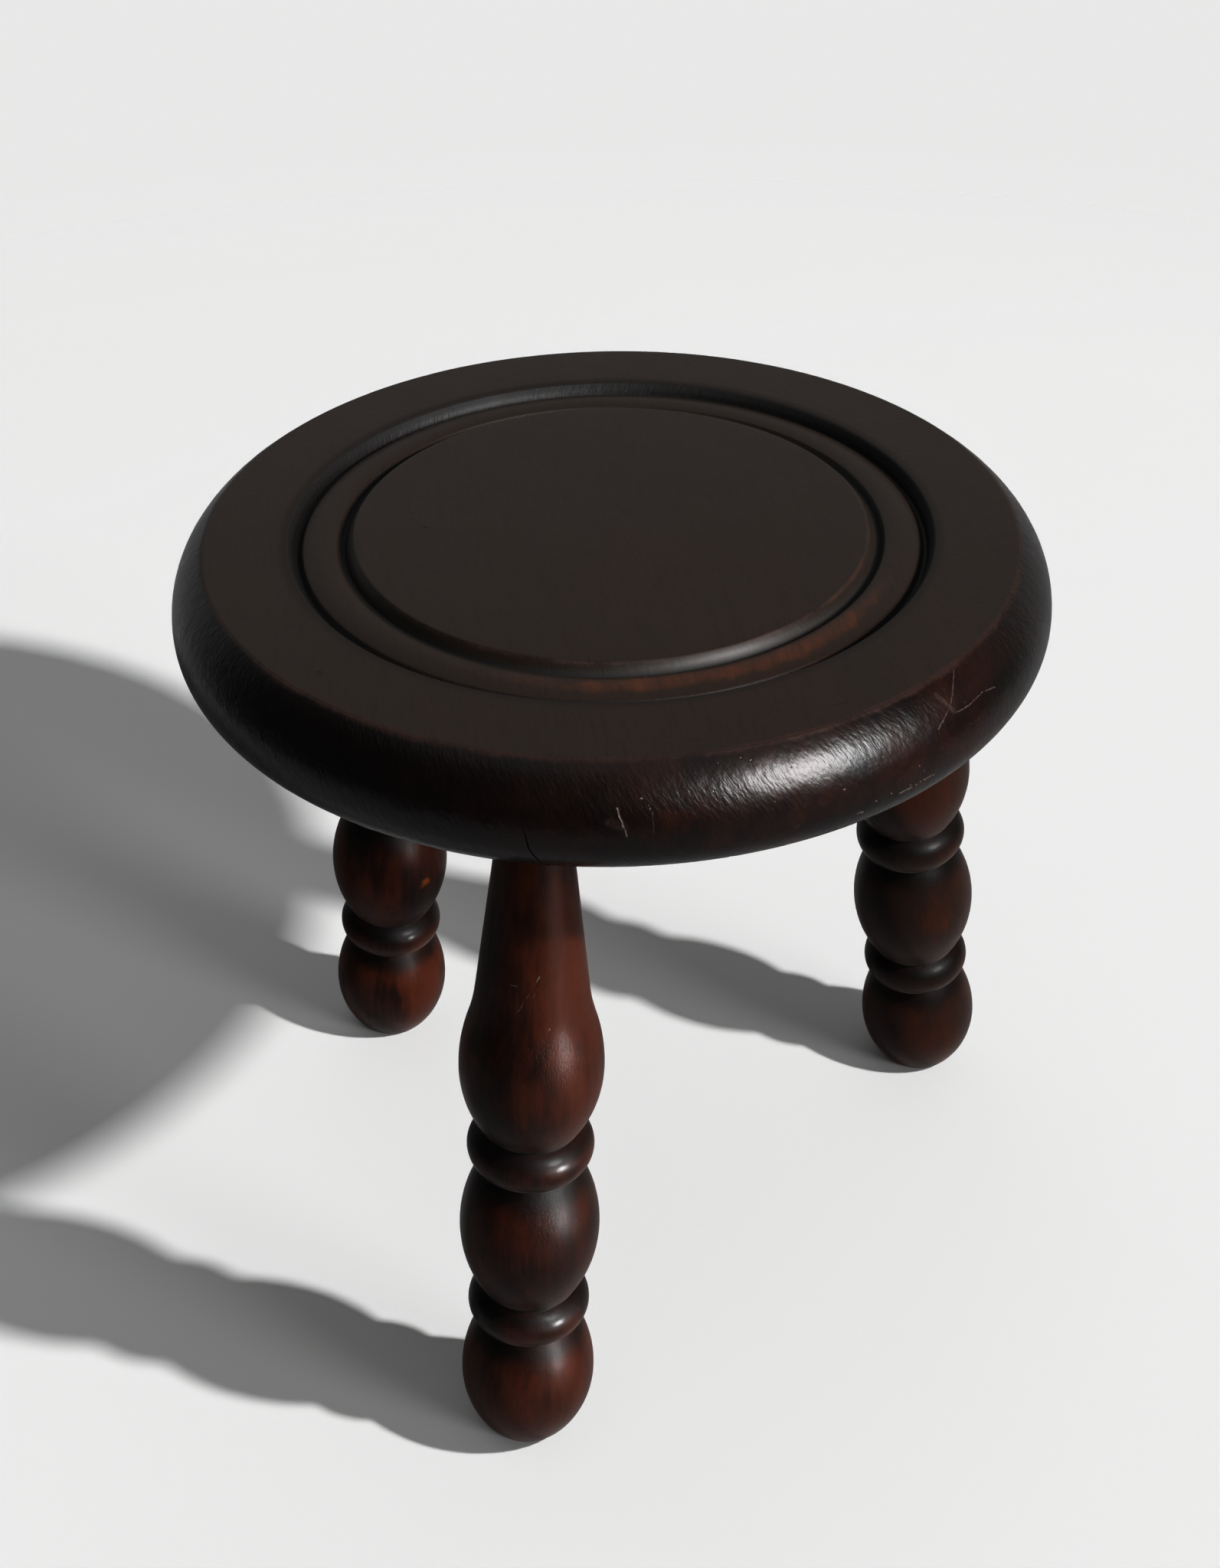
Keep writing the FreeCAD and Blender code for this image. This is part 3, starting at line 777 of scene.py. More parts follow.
def paint(piece, placing, outline, girth, masks, grain_turn, grain_shift):
    """Store on a piece where its wood lies along the grain, and masks made from radius, height and angle."""
    mesh = piece.data
    spots = np.empty(len(mesh.vertices) * 3)
    mesh.vertices.foreach_get("co", spots)
    spots = spots.reshape(-1, 3)
    back = np.array(placing.inverted())
    local = spots @ back[:3, :3].T + back[:3, 3]
    radius = np.hypot(local[:, 0], local[:, 1])
    turn = np.degrees(np.arctan2(local[:, 1], local[:, 0]))
    grain = local @ np.array(grain_turn).T + np.array(grain_shift)
    store(mesh, "grain", grain)
    unit = local[:, :2] / np.maximum(radius, 1e-6)[:, None]
    lathe = np.column_stack([unit * girth, along_outline(radius, local[:, 2], outline)])
    store(mesh, "lathe", lathe)
    for name, mask in masks.items():
        store(mesh, name, mask(radius, local[:, 2], turn))


def step(values, low, high):
    """A straight step from 0 to 1 between two values."""
    return np.clip((values - low) / (high - low), 0, 1)


def swell(values, middle, width):
    """A smooth hump from 0 to 1 about a middle value."""
    return np.exp(-(((values - middle) / width) ** 2))


def bare_patch(name, height, turn):
    """Where the polish is rubbed off one leg's barrel."""
    leg, middle, drop, wide, high = BARE_PATCH
    away = (turn - middle + 180) % 360 - 180
    here = swell(away, 0, wide) * swell(height, -drop * MM, high * MM)
    return here if name == leg else np.zeros(len(here))


def round_wear(turn, middle, width, least):
    """Wear that is full at one angle round the seat and falls to a least amount away from it."""
    return least + (1 - least) * swell(turn, middle, width)


def chip_share(radius, drop, turn):
    """The share of the rim's polish that is chipped."""
    middle, wide, low, high, share = CHIPS
    here = share * swell(turn, middle, wide) * swell(drop, low * MM, high * MM)
    return here * step(radius, SEAT_RADIUS - 0.02, SEAT_RADIUS - 0.015)


def take_place(piece, node):
    """The piece stands for its CAD node and takes its slot."""
    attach(piece, "root")
    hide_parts(node)


# Materials

@node_group(
    "Wood figure",
    {"Vector": VECTOR, "Streak width": FLOAT},
    {"Streaks": FLOAT, "Pores": FLOAT, "Patches": FLOAT},
)
def wood_figure_group(nodes, given):
    """Shader group: streaks, pores and patches of wood whose grain runs along Z."""
    grain = given["Vector"]
    per_metre = nodes.math("DIVIDE", 1.0, given["Streak width"])
    bend = nodes.stretched(nodes.shake(grain, 18.0, 1.0), (0.004, 0.004, 0))
    bent = nodes.vector("ADD", grain, bend)
    long_streaks = nodes.scaled(nodes.stretched(bent, (1, 1, 0.045)), per_metre)
    long_pores = nodes.scaled(nodes.stretched(bent, (1, 1, 0.07)), per_metre)
    patches = nodes.noise(nodes.stretched(grain, (1, 1, 0.55)), 34.0, 3.0)
    return {
        "Streaks": nodes.ramp(nodes.noise(long_streaks, 1.0, 5.0, 0.62), 0.3, 0.72),
        "Pores": nodes.ramp(nodes.noise(long_pores, 5.5, 2.0), 0.52, 0.66),
        "Patches": nodes.ramp(patches, 0.34, 0.68),
    }


@node_group(
    "Rubbed polish",
    {"Vector": VECTOR, "Worn": FLOAT, "Break up": FLOAT, "Start": FLOAT},
    {"Mask": FLOAT},
)
def rubbed_group(nodes, given):
    """Shader group: where hands and feet have rubbed the polish, broken up along the marked places."""
    coarse = nodes.noise(given["Vector"], given["Break up"], 4.0, 0.6)
    fine = nodes.noise(given["Vector"], nodes.times(given["Break up"], 6), 3.0, 0.6)
    uneven = nodes.plus(nodes.times(coarse, 0.7), nodes.times(fine, 0.3))
    end = nodes.plus(given["Start"], 0.28)
    return {"Mask": nodes.ramp(nodes.times(given["Worn"], uneven), given["Start"], end)}


@node_group("Ragged place", {"Vector": VECTOR}, {"Shaken": VECTOR, "Mask": FLOAT})
def ragged_group(nodes, given):
    """Shader group: a shaken place and a broken mask, for scratches that are not clean lines."""
    place = given["Vector"]
    shift = nodes.vector("SUBTRACT", nodes.shake(place, 520.0, 2.0), (0.5, 0.5, 0.5))
    return {
        "Shaken": nodes.vector("ADD", place, nodes.scaled(shift, 0.0009)),
        "Mask": nodes.ramp(nodes.noise(place, 1100.0, 2.0), 0.34, 0.6, 0.3, 1.0),
    }


@node_group(
    "Hair scratch",
    {"Vector": VECTOR, "Start": VECTOR, "End": VECTOR, "Width": FLOAT, "Strength": FLOAT},
    {"Mask": FLOAT},
)
def hair_scratch_group(nodes, given):
    """Shader group: one fine scratch from start to end."""
    line = nodes.vector("SUBTRACT", given["End"], given["Start"])
    offset = nodes.vector("SUBTRACT", given["Vector"], given["Start"])
    along = nodes.vector("DOT_PRODUCT", offset, line)
    share = nodes.math("DIVIDE", along, nodes.vector("DOT_PRODUCT", line, line), clamp=True)
    apart = nodes.vector("DISTANCE", offset, nodes.scaled(line, share))
    near = nodes.ramp(apart, given["Width"], nodes.times(given["Width"], 0.3))
    return {"Mask": nodes.times(near, given["Strength"])}


@node_group("Polish marks", {"Vector": VECTOR, "Lathe": VECTOR}, {"Height": FLOAT, "Dullness": FLOAT})
def polish_marks_group(nodes, given):
    """Shader group: fine strokes along the turned outline and small pits in old hand polish."""
    place = given["Vector"]
    along = nodes.add("ShaderNodeSeparateXYZ", {0: given["Lathe"]}).outputs["Z"]
    lean = nodes.add("ShaderNodeCombineXYZ", {"X": nodes.times(along, 0.5)}).outputs[0]
    slanted = nodes.vector("ADD", given["Lathe"], lean)
    strokes = nodes.noise(nodes.stretched(slanted, (1, 1, 0.4)), 900.0, 2.0)
    broad = nodes.noise(nodes.stretched(slanted, (1, 1, 0.5)), 380.0, 2.0)
    ripple = nodes.noise(place, 120.0, 2.0)
    pits = nodes.add("ShaderNodeTexVoronoi", {"Vector": place, "Scale": 230.0}).outputs["Distance"]
    height = nodes.plus(nodes.times(strokes, 0.55), nodes.times(broad, 0.7))
    height = nodes.plus(height, nodes.times(ripple, 1.1))
    return {
        "Height": nodes.plus(height, nodes.times(nodes.ramp(pits, 0.03, 0.1), 0.3)),
        "Dullness": nodes.ramp(nodes.noise(place, 46.0, 4.0), 0.3, 0.75),
    }


def fresh_nodes(owner):
    """The nodes of a material, a world or a lamp, with none in its tree yet."""
    owner.use_nodes = True
    owner.node_tree.nodes.clear()
    return Nodes(owner.node_tree)


def new_material(name):
    """A material with its nodes and its Principled shader, which is joined to the output."""
    material = bpy.data.materials.new(name)
    nodes = fresh_nodes(material)
    shader = nodes.add("ShaderNodeBsdfPrincipled")
    nodes.add("ShaderNodeOutputMaterial", {"Surface": shader.outputs["BSDF"]})
    return material, nodes, shader


# Scratches and specks on the front leg: two places and a width in millimetres, then a strength.
LEG_SCRATCHES = (
    ((-35.0, -131.8, 202.3), (-27.9, -129.1, 214.6), 0.35, 0.5),
    ((-31.5, -132.0, 205.0), (-28.5, -130.5, 210.5), 0.3, 0.4),
    ((-37.2, -128.9, 211.0), (-34.9, -129.5, 211.2), 0.4, 0.4),
    ((-25.3, -133.0, 195.2), (-25.1, -133.1, 195.4), 0.4, 0.7),
    ((-21.2, -132.0, 192.1), (-21.0, -132.0, 192.6), 0.4, 0.6),
)

# Scratches, nicks and specks in the rim's polish, each from one place to another: angle in degrees and depth
# below the top in millimetres; then a width in millimetres and a strength.
RIM_SCRATCHES = (
    ((-89.71, 11.0), (-88.67, 19.4), 0.34, 0.6),
    ((-90.6, 15.0), (-89.0, 16.6), 1.9, 0.06),
    ((-41.9, 1.2), (-45.65, 7.5), 0.34, 0.2),
    ((-46.88, 3.5), (-45.3, 9.2), 1.2, 0.07),
    ((-46.3, 8.0), (-48.68, 11.0), 0.3, 0.24),
    ((-44.92, 9.8), (-42.68, 10.1), 0.32, 0.3),
    ((-42.68, 10.1), (-39.52, 9.6), 0.3, 0.3),
    ((-38.9, 9.8), (-36.8, 11.1), 0.3, 0.25),
    ((-87.03, 8.6), (-86.95, 8.7), 0.45, 0.9),
    ((-86.06, 11.3), (-86.0, 11.6), 0.3, 0.6),
    ((-52.48, 18.6), (-52.4, 18.7), 0.4, 0.6),
    ((-63.32, 16.1), (-63.2, 16.1), 0.35, 0.5),
    ((-55.43, 25.4), (-53.6, 25.2), 0.35, 0.6),
    ((-51.6, 24.8), (-50.36, 24.6), 0.35, 0.5),
    ((-61.33, 26.9), (-60.6, 27.0), 0.45, 0.6),
)

# Dark lines and pits in the rim's polish, given in the same way.
RIM_PITS = (
    ((-85.72, 12.3), (-85.74, 24.5), 0.28, 0.6),
    ((-69.6, 24.3), (-69.0, 24.3), 0.7, 1.0),
)

# Where the rim's polish is worn through to red wood, given in the same way.
RED_SPOTS = (
    ((-84.6, 13.5), (-81.6, 14.6), 2.6, 0.1),
    ((-84.0, 17.0), (-82.4, 17.6), 3.0, 0.08),
)

# Dents and dark specks in the flat top: two places by angle in degrees and radius in millimetres, then a
# width in millimetres and a strength.
TOP_PITS = (
    ((-178.6, 64.7), (-177.6, 63.5), 0.6, 0.9),
    ((-134.4, 130.1), (-134.2, 130.4), 1.3, 0.8),
    ((-60.5, 133.3), (-57.9, 133.6), 0.5, 0.7),
    ((-81.0, 133.8), (-79.2, 134.2), 0.4, 0.7),
    ((-98.4, 140.0), (-97.6, 140.1), 0.5, 0.7),
)


def marked_lines(marks, place):
    """Marks whose two ends are given in their own way, with the ends turned into places."""
    return [(place(start), place(end), width, strength) for start, end, width, strength in marks]


def leg_place(spot):
    """A place given in millimetres."""
    return tuple(number * MM for number in spot)


def round_seat(turn, radius, height):
    """A place at an angle and a radius round the seat's axis."""
    return Vector((SEAT_AXIS.x + radius * math.cos(turn), SEAT_AXIS.y + radius * math.sin(turn), height))


def top_place(spot):
    """A place in the flat top, from its angle and its radius."""
    return round_seat(spot[0] * DEGREE, spot[1] * MM, SEAT_HIGH.z)


def rim_outline(outline):
    """Heights, radii and lengths along the outline of the rim, from the underside up."""
    points = np.array(outline)
    outside = points[:, 0] > SEAT_RADIUS - RIM_BAND
    order = np.argsort(points[outside, 1])
    rim = points[outside][order]
    return rim[:, 1], rim[:, 0], lengths(outline)[outside][order]


def rim_lines(marks, outline):
    """Marks on the rim, from place to place round and along its outline."""
    heights, _, along = rim_outline(outline)

    def rim_place(spot):
        turn = spot[0] * DEGREE
        reach = float(np.interp(SEAT_THICKNESS - spot[1] * MM, heights, along))
        return (SEAT_RADIUS * math.cos(turn), SEAT_RADIUS * math.sin(turn), reach)

    return marked_lines(marks, rim_place)


def scratched_mask(nodes, place, scratches):
    """One mask of all the scratches given."""
    ragged = nodes.group(ragged_group(), {"Vector": place})
    marked = 0.0
    for start, end, width, strength in scratches:
        ends = {"Vector": ragged["Shaken"], "Start": start, "End": end}
        inputs = {**ends, "Width": width * MM, "Strength": strength}
        marked = nodes.most(nodes.group(hair_scratch_group(), inputs)["Mask"], marked)
    return nodes.times(marked, ragged["Mask"])


def rubbed_mask(nodes, place, name, break_up, start):
    """A stored mask of wear, broken up as rubbed polish is."""
    inputs = {"Vector": place, "Worn": nodes.mask(name), "Break up": break_up, "Start": start}
    return nodes.group(rubbed_group(), inputs)["Mask"]


def add_bump(nodes, shader, height, strength, distance):
    """Small relief on a material's shader."""
    bump = nodes.add("ShaderNodeBump", {"Strength": strength, "Distance": distance, "Height": height})
    nodes.supply(shader, {"Normal": bump.outputs[0]})


def leg_material(finish):
    """Dark streaked red-brown polish, rubbed orange, black with dirt and painted shade by the notches and
    glossy on the beads.
    """
    material, nodes, shader = new_material("Leg polish")
    place = nodes.add("ShaderNodeTexCoord").outputs["Object"]
    grain = nodes.stored("grain")
    warm = nodes.mask("warm")
    dirt_and_shade = nodes.mask("dirt_and_shade")
    figure = nodes.group(wood_figure_group(), {"Vector": grain, "Streak width": 0.002})
    rubbed = rubbed_mask(nodes, nodes.stretched(grain, (1, 1, 0.4)), "worn", 75.0, 0.44)
    marks = nodes.group(polish_marks_group(), {"Vector": grain, "Lathe": nodes.stored("lathe")})
    red = nodes.plus(nodes.times(figure["Streaks"], 0.32), nodes.times(figure["Patches"], 0.68))
    warmth = nodes.times(nodes.ramp(red, 0.05, 0.95), warm)
    # The right leg's polish turns brown: partly its own colour, partly a painted sheen.
    polish = nodes.mix(warm, finish.leg_brown_and_sheen, finish.leg_polish)
    colour = nodes.mix(warmth, polish, finish.leg_warm)
    worn = nodes.times(nodes.times(rubbed, nodes.raised(figure["Streaks"], 0.2)), warm)
    colour = nodes.mix(nodes.times(worn, 0.32), colour, finish.leg_worn)
    colour = nodes.mix(rubbed_mask(nodes, grain, "bare", 260.0, 0.3), colour, finish.leg_bare)
    colour = nodes.mix(nodes.times(figure["Pores"], 0.25), colour, finish.grime_and_shade)
    # Dirt and painted shade: the notches are darkened to grime.
    colour = nodes.mix(nodes.times(dirt_and_shade, 0.95), colour, finish.grime_and_shade)
    scratched = scratched_mask(nodes, place, marked_lines(LEG_SCRATCHES, leg_place))
    dull = nodes.plus(nodes.times(marks["Dullness"], 0.1), nodes.times(worn, 0.05))
    dull = nodes.plus(dull, nodes.times(dirt_and_shade, 0.08))
    looks = {
        "Base Color": nodes.mix(scratched, colour, finish.scratch),
        "Roughness": nodes.plus(finish.leg_roughness - 0.05, dull),
        "Coat Weight": nodes.ramp(nodes.mask("waxed"), 0.15, 0.6, 0.0, 0.12),
        "Coat Roughness": finish.wax_roughness,
        "Specular IOR Level": finish.leg_gloss,
        "Sheen Weight": finish.leg_bloom,
        "Sheen Roughness": finish.bloom_roughness,
        "Sheen Tint": finish.bloom,
    }
    nodes.supply(shader, looks)
    height = nodes.math("SUBTRACT", marks["Height"], nodes.times(figure["Pores"], 0.4))
    add_bump(nodes, shader, height, 0.35, 0.0002)
    return material


def seat_material(finish, outline):
    """Dull olive-brown top, near-black glossy rim, rubbed ring and arrises, scratches, and dirt with painted
    shade in the grooves and the split.
    """
    material, nodes, shader = new_material("Seat polish")
    place = nodes.add("ShaderNodeTexCoord").outputs["Object"]
    lathe = nodes.stored("lathe")
    flat = nodes.mask("flat")
    # The split's cut walls join the grooves' mask: painted shade that makes the crack near-black.
    dirt_and_shade = nodes.most(nodes.mask("dirt_and_shade"), nodes.mask("cut"))
    figure = nodes.group(wood_figure_group(), {"Vector": nodes.stored("grain"), "Streak width": 0.006})
    rubbed = rubbed_mask(nodes, place, "worn", 70.0, 0.34)
    ring = rubbed_mask(nodes, place, "ring", 55.0, 0.2)
    marks = nodes.group(polish_marks_group(), {"Vector": place, "Lathe": lathe})
    pale = scratched_mask(nodes, lathe, rim_lines(RIM_SCRATCHES, outline))
    chips = nodes.add("ShaderNodeTexVoronoi", {"Vector": place, "Scale": 620.0}).outputs
    chance = nodes.add("ShaderNodeSeparateColor", {"Color": chips["Color"]}).outputs[0]
    chipped = nodes.math("LESS_THAN", chance, nodes.mask("chips"))
    chipped = nodes.times(chipped, nodes.ramp(chips["Distance"], 0.1, 0.24, 0.6, 0.0))
    pale = nodes.most(pale, chipped)
    pits = scratched_mask(nodes, lathe, rim_lines(RIM_PITS, outline))
    pits = nodes.most(pits, scratched_mask(nodes, place, marked_lines(TOP_PITS, top_place)))
    red = scratched_mask(nodes, lathe, rim_lines(RED_SPOTS, outline))
    uneven = nodes.raised(figure["Streaks"], 0.35)
    thin = nodes.times(nodes.times(figure["Patches"], nodes.mask("thin")), uneven)
    colour = nodes.mix(thin, finish.seat_rim, finish.seat_warm)
    top = nodes.mix(nodes.times(thin, 0.4), finish.seat_top, finish.seat_warm)
    colour = nodes.mix(flat, colour, top)
    colour = nodes.mix(nodes.times(ring, uneven), colour, finish.seat_ring)
    colour = nodes.mix(nodes.times(rubbed, 0.5), colour, finish.seat_worn)
    colour = nodes.mix(red, colour, finish.leg_worn)
    colour = nodes.mix(nodes.times(figure["Pores"], 0.25), colour, finish.grime_and_shade)
    # Grooves and the split darkened to grime: dirt and painted shade; the pits are real dark specks.
    colour = nodes.mix(nodes.most(nodes.times(dirt_and_shade, 0.95), pits), colour, finish.grime_and_shade)
    dull = nodes.plus(nodes.times(marks["Dullness"], 0.05), nodes.times(flat, 0.1))
    dull = nodes.plus(dull, nodes.times(nodes.most(nodes.most(pale, pits), dirt_and_shade), 0.4))
    dull = nodes.plus(dull, nodes.times(rubbed, 0.15))
    looks = {
        "Base Color": nodes.mix(pale, colour, finish.scratch),
        "Roughness": nodes.plus(finish.seat_roughness - 0.03, dull),
        "Specular IOR Level": finish.seat_gloss,
    }
    nodes.supply(shader, looks)
    polished = nodes.times(marks["Height"], nodes.ramp(flat, 0.0, 1.0, 1.0, 0.3))
    height = nodes.math("SUBTRACT", polished, nodes.times(nodes.plus(pale, pits), 0.6))
    add_bump(nodes, shader, height, 0.5, 0.0004)
    return material


def wedge_material(finish):
    """Plain unpolished hardwood."""
    material, nodes, shader = new_material("Wedge wood")
    place = nodes.add("ShaderNodeTexCoord").outputs["Object"]
    figure = nodes.group(wood_figure_group(), {"Vector": place, "Streak width": 0.0015})
    dark = tuple(channel * 0.6 for channel in finish.raw_wood)
    looks = {
        "Base Color": nodes.mix(figure["Streaks"], dark, finish.raw_wood),
        "Roughness": nodes.ramp(figure["Pores"], 0.0, 1.0, 0.6, 0.8),
    }
    nodes.supply(shader, looks)
    add_bump(nodes, shader, figure["Streaks"], 0.2, 0.0002)
    return material


# Pieces

def leg_placing(name, seat):
    """Where a leg's own origin stands and how it is tilted, as a place and Euler angles."""
    turn, splay, lean = (angle * DEGREE for angle in LEG_ANGLES[name])
    place = round_seat(turn, SEAT_RADIUS - seat.mortise_inset, SEAT_LOW.z)
    return place, (lean, -splay, turn), math.cos(splay) * math.cos(lean)


def placing_matrix(place, tilt):
    """The matrix of a place and Euler angles."""
    lean, splay, turn = tilt
    return (
        Matrix.Translation(place)
        @ Matrix.Rotation(turn, 4, "Z")
        @ Matrix.Rotation(splay, 4, "Y")
        @ Matrix.Rotation(lean, 4, "X")
    )


def mortise_bit(name, seat, leg):
    """A boring bit in the place of one leg's mortise."""
    place, tilt, slope = leg_placing(name, seat)
    depth = (SEAT_THICKNESS - seat.mortise_cover) / slope
    start = -(leg.tenon_radius + leg.tenon_reveal)
    radius = leg.tenon_radius + leg.glue_line
    ends = {"radius1": radius, "radius2": radius, "depth": depth - start}
    shape = bmesh.new()
    bmesh.ops.create_cone(shape, cap_ends=True, segments=64, **ends)
    matrix = placing_matrix(place, tilt) @ Matrix.Translation((0, 0, (depth + start) / 2))
    bmesh.ops.transform(shape, matrix=matrix, verts=shape.verts)
    return object_of(shape, f"bit_{name}")


def split_blade(outline, depth):
    """A thin ragged blade that opens the split in the rim, as deep as given where it is fully open."""
    heights, radii, _ = rim_outline(outline)
    depth_share = depth / FULL_OPENING
    shape = bmesh.new()
    rings = []
    for angle, drop, opening in SPLIT:
        turn = angle * DEGREE
        wide = max(opening, LEAST_OPENING)
        radius = float(np.interp(SEAT_THICKNESS - min(drop * MM, SEAT_THICKNESS), heights, radii))
        out = Vector((math.cos(turn), math.sin(turn), 0))
        side = Vector((-math.sin(turn), math.cos(turn), 0)) * wide * MM / 2
        middle = round_seat(turn, radius, SEAT_HIGH.z - drop * MM)
        inner = middle - out * depth_share * wide
        outer = middle + out * BLADE_REACH
        side *= BLADE_FLARE
        rings.append([shape.verts.new(p) for p in (outer + side, outer - side, inner)])
    for low, high in zip(rings, rings[1:]):
        for k in range(3):
            shape.faces.new((low[k], low[(k + 1) % 3], high[(k + 1) % 3], high[k]))
    shape.faces.new(rings[0])
    shape.faces.new(rings[-1][::-1])
    bmesh.ops.recalc_face_normals(shape, faces=shape.faces)
    return object_of(shape, "split_blade")


def seat_masks(sizes, worn, dirt_and_shade):
    """The seat's masks, each a function of radius, height and angle in degrees."""
    top = SEAT_THICKNESS
    groove_radius = SEAT_RADIUS - sizes.rim_overhang - sizes.border_width - sizes.border_round
    ring_radius = groove_radius - RING_WORN_IN

    def flat(radius, height, turn):
        """The level of the flat top, and all that lies inside the outer groove."""
        level = step(height, top - 0.0007, top - 0.0001)
        inside = step(-radius, -ring_radius - 0.009, -ring_radius - 0.007)
        return np.maximum(level, inside)

    def ring(radius, height, turn):
        """The raised ring, which lies lower than the flat top and far above the underside."""
        sunk = step(top - height, 0.0002, 0.0008) * step(height, top - 0.012, top - 0.01)
        return sunk * swell(radius, ring_radius, RING_WORN_REACH) * round_wear(turn, *RING_WEAR)

    return {
        "worn": near(worn),
        "dirt_and_shade": near(dirt_and_shade),
        "flat": flat,
        "ring": ring,
        "chips": lambda radius, height, turn: chip_share(radius, top - height, turn),
        "thin": lambda radius, height, turn: round_wear(turn, *THIN_POLISH),
    }


class STOOL_OT_seat(bpy.types.Operator):
    """Turn the seat, bore its mortises, open its split and polish it"""

    bl_idname = "stool.seat"
    bl_label = "Seat"

    def execute(self, context):
        sizes = settings().seat
        points, worn, dirt_and_shade = seat_outline(sizes)
        outline = softened(points, sizes.softness)
        place = Vector((SEAT_AXIS.x, SEAT_AXIS.y, SEAT_LOW.z))
        material = seat_material(settings().finish, outline)
        blank = turned_piece("seat_blank", outline, sizes.segments, SEAT_WOBBLE, place, (0, 0, 0), material)
        cutters = [mortise_bit(name, sizes, settings().leg) for name in LEG_ANGLES]
        cutters.append(split_blade(points, sizes.split_depth))
        piece = cut_away(blank, cutters, "turned_seat", material)
        smooth_with_edges(piece.data)
        turned = Matrix.Rotation(SEAT_GRAIN_TURN * DEGREE, 3, "Z")
        grain_turn = Matrix(((1, 0, 0), (0, 0, 1), (0, -1, 0))) @ turned
        masks = seat_masks(sizes, worn, dirt_and_shade)
        placing = Matrix.Translation(place)
        paint(piece, placing, outline, SEAT_RADIUS, masks, grain_turn, SEAT_GRAIN_PLACE)
        take_place(piece, "seat")
        return {"FINISHED"}


class STOOL_OT_legs(bpy.types.Operator):
    """Turn the three legs, saw their feet level and polish them"""

    bl_idname = "stool.legs"
    bl_label = "Legs"

    def execute(self, context):
        seat = settings().seat
        sizes = settings().leg
        material = leg_material(settings().finish)
        for number, name in enumerate(LEG_ANGLES):
            place, tilt, slope = leg_placing(name, seat)
            reach = SEAT_LOW.z / slope
            tenon_end = (SEAT_THICKNESS - seat.mortise_cover) / slope - sizes.glue_line
            points, worn, dirt_and_shade, waxed = leg_outline(sizes, reach, tenon_end)
            outline = softened(points, sizes.softness)
            shown = f"turned_{name}"
            piece = turned_piece(shown, outline, sizes.segments, LEG_WOBBLE, place, tilt, material)
            saw_level(piece)
            smooth_with_edges(piece.data)
            shift = [number * along for along in LEG_GRAIN_STEP]
            masks = {
                "worn": near(worn),
                "dirt_and_shade": near(dirt_and_shade),
                "waxed": near(waxed),
                "warm": lambda radius, height, turn: np.full(len(radius), LEG_WARMTH[name]),
                "bare": lambda radius, height, turn: bare_patch(name, height, turn),
            }
            placing = placing_matrix(place, tilt)
            paint(piece, placing, outline, sizes.barrel_radius, masks, Matrix.Identity(3), shift)
            take_place(piece, name)
        return {"FINISHED"}


class STOOL_OT_wedges(bpy.types.Operator):
    """Give the hidden wedges their plain wood"""

    bl_idname = "stool.wedges"
    bl_label = "Wedges"

    def execute(self, context):
        material = wedge_material(settings().finish)
        for name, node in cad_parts.items():
            if name.startswith("wedge_"):
                one_material(node.data, material)
        return {"FINISHED"}


# Stage

def floor_material(stage):
    """Paper that fades out at its edge, pale to the camera, dim in the polish and clear from below."""
    material = bpy.data.materials.new("Paper")
    nodes = fresh_nodes(material)
    away = nodes.vector("LENGTH", nodes.add("ShaderNodeTexCoord").outputs["Object"])
    fade = nodes.ramp(away, stage.floor_radius * 0.6, stage.floor_radius * 0.98)
    fade = nodes.most(fade, nodes.add("ShaderNodeNewGeometry").outputs["Backfacing"])
    seen = nodes.add("ShaderNodeLightPath").outputs["Is Camera Ray"]
    paper = nodes.add("ShaderNodeBsdfDiffuse", {"Color": nodes.mix(seen, stage.dim_floor, stage.floor)})
    clear = nodes.add("ShaderNodeBsdfTransparent")
    both = nodes.add("ShaderNodeMixShader", {0: fade, 1: paper.outputs[0], 2: clear.outputs[0]})
    nodes.add("ShaderNodeOutputMaterial", {"Surface": both.outputs[0]})
    return material


def set_world(stage):
    """A dim room, lighter behind and above the stool; the camera sees pale paper all round."""
    world = bpy.data.worlds.new("Studio")
    bpy.context.scene.world = world
    nodes = fresh_nodes(world)
    paths = nodes.add("ShaderNodeLightPath").outputs
    sky = nodes.add("ShaderNodeTexCoord").outputs["Generated"]
    way = nodes.add("ShaderNodeSeparateXYZ", {0: sky}).outputs
    back = nodes.ramp(way["Y"], 0.2, 0.7, stage.room, stage.backdrop)
    light = nodes.plus(back, nodes.ramp(way["Z"], 0.72, 0.95, 0.0, stage.overhead))
    grey = nodes.add("ShaderNodeCombineColor", {0: light, 1: light, 2: light}).outputs[0]
    seen = nodes.most(paths["Is Camera Ray"], paths["Is Transmission Ray"])
    lit = nodes.add("ShaderNodeBackground", {"Color": nodes.mix(seen, grey, stage.pale), "Strength": 1.0})
    nodes.add("ShaderNodeOutputWorld", {"Surface": lit.outputs[0]})


def add_floor(stage):
    """The round paper on the floor."""
    shape = bmesh.new()
    lowered = Matrix.Translation((0, 0, -PAPER_DROP))
    bmesh.ops.create_circle(shape, cap_ends=True, segments=96, radius=stage.floor_radius, matrix=lowered)
    floor = object_of(shape, "floor")
    floor.data.materials.append(floor_material(stage))


def add_lamp(name, lamp, target, turn, rise, away):
    """A lamp turned to its target, at an angle round it, an angle above it and a distance from it."""
    way = Vector((math.cos(rise) * math.cos(turn), math.cos(rise) * math.sin(turn), math.sin(rise)))
    place = target + way * away
    item = bpy.data.objects.new(name, lamp)
    item.location = place
    item.rotation_euler = (place - target).to_track_quat("Z", "Y").to_euler()
    bpy.context.scene.collection.objects.link(item)
    return item


